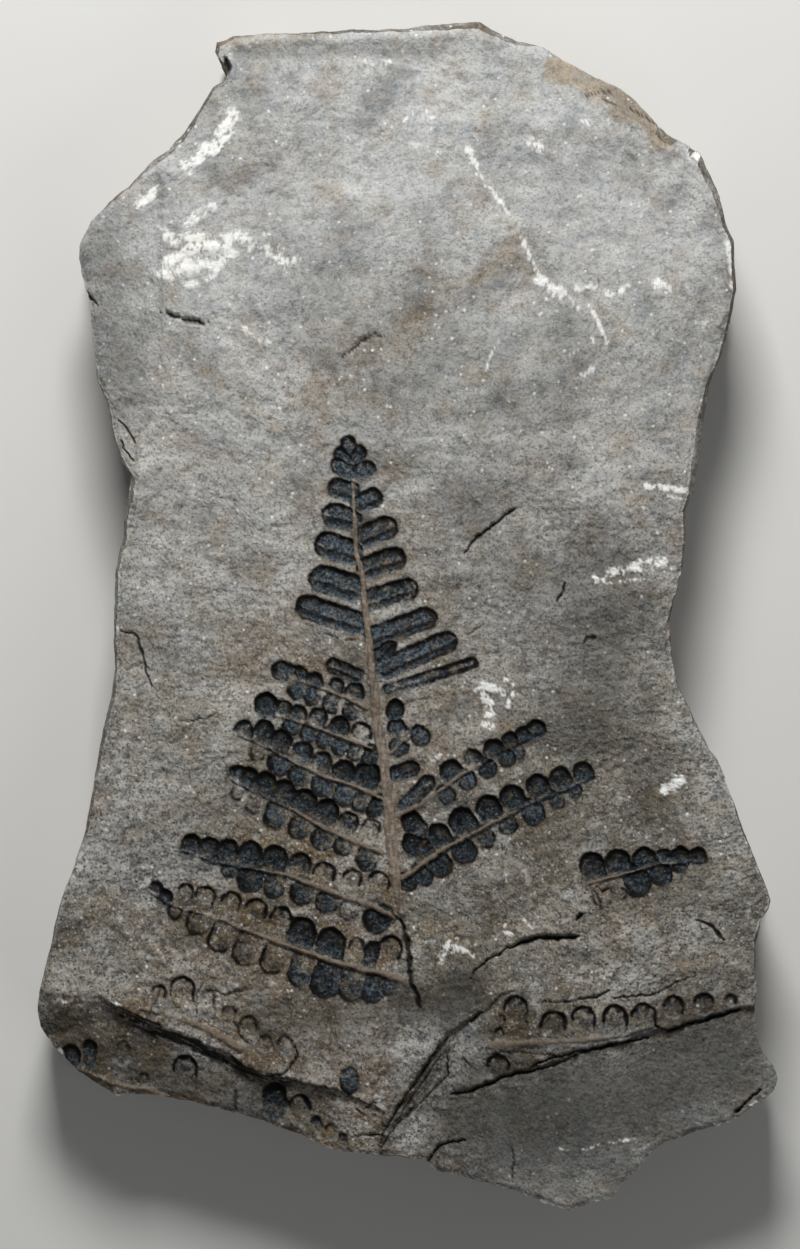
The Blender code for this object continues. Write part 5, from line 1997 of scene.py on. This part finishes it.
@dataclass
class Studio:
    """The floor, the lights and the camera: middle and height of the picture in steps, the rest in metres."""

    survey: Survey
    middle: Spot = (400.0, 624.5)
    picture_height: float = 1249.0
    face_height: float = 0.017
    distance: float = 0.9
    sensor: float = 36.0
    floor_size: float = 3.0
    floor_tone: str = "#E2E1DD"
    sky_tone: str = "#E9ECEF"
    sky_strength: float = 0.1

    def floor(self) -> bpy.types.Object:
        """Lays the pale floor under the slab: a square at z 0."""
        half = self.floor_size / 2
        mesh = bpy.data.meshes.new("floor")
        mesh.from_pydata([(-half, -half, 0), (half, -half, 0), (half, half, 0), (-half, half, 0)], [], [(0, 1, 2, 3)])
        material = bpy.data.materials.new("paper, matt")
        material.use_nodes = True
        material.node_tree.nodes.clear()
        inputs = {"Base Color": self.floor_tone, "Roughness": 0.9}
        shader = add_node(material, "ShaderNodeBsdfPrincipled", inputs)
        add_node(material, "ShaderNodeOutputMaterial", {"Surface": shader.outputs[0]})
        mesh.materials.append(material)
        floor = bpy.data.objects.new("floor", mesh)
        bpy.context.collection.objects.link(floor)
        return floor

    def camera(self) -> None:
        """Hangs the camera straight above the slab, with the slab's top at the top of the picture."""
        data = bpy.data.cameras.new("camera")
        data.sensor_width = self.sensor
        data.lens = self.sensor * (self.distance - self.face_height) / (self.picture_height * self.survey.step)
        data.clip_start, data.clip_end = 0.01, 10
        camera = bpy.data.objects.new("camera", data)
        x, y = self.survey.place(np.array(self.middle))
        camera.location = (x, y, self.distance)
        bpy.context.collection.objects.link(camera)
        bpy.context.scene.camera = camera

    def lamp(self, name: str, place: tuple[float, float, float], size: float, power: float) -> None:
        """Hangs a square soft box.

        Args:
            name: What it is called.
            place: Where its middle is; it faces the slab's middle.
            size: The length of its sides.
            power: Its power in watts.
        """
        data = bpy.data.lights.new(name, "AREA")
        data.shape, data.size, data.energy = "SQUARE", size, power
        lamp = bpy.data.objects.new(name, data)
        x, y, z = place
        lamp.location = place
        lamp.rotation_euler = (math.atan2(math.hypot(x, y), z), 0, math.atan2(y, x) + math.pi / 2)
        bpy.context.collection.objects.link(lamp)

    def build(self) -> None:
        """Sets the studio up: the main light beyond the slab's top, a weak fill and pale surroundings."""
        self.floor()
        self.camera()
        self.lamp("main light", (-0.03, 0.36, 0.33), 0.16, 2.3)
        self.lamp("fill light", (0.5, -0.5, 0.7), 0.6, 1.0)
        world = bpy.data.worlds.new("pale surroundings")
        world.use_nodes = True
        background = world.node_tree.nodes["Background"]
        background.inputs[0].default_value = linear(self.sky_tone)
        background.inputs[1].default_value = self.sky_strength
        bpy.context.scene.world = world
        bpy.context.scene.view_settings.view_transform = "Standard"


def main() -> None:
    """Builds the slab, its finishes and the studio, with the slab kept inside the solid's box."""
    logging.basicConfig(level=logging.INFO, format="%(name)s: %(message)s")
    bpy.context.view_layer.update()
    survey, grain = Survey(), Grain(41)
    face = Face(survey, grain, Frond(grain))
    shell = Shell(survey, Rim(survey, grain), face, grain)
    finishes = {
        Part.FACE: PrintedShale().make(),
        Part.EDGE: BrokenShale().make(),
        Part.UNDERSIDE: Underside().make(),
    }
    for piece in shell.build(finishes):
        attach(piece, "root")
        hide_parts(NODE)
    Studio(survey).build()


if __name__ == "__main__":
    main()
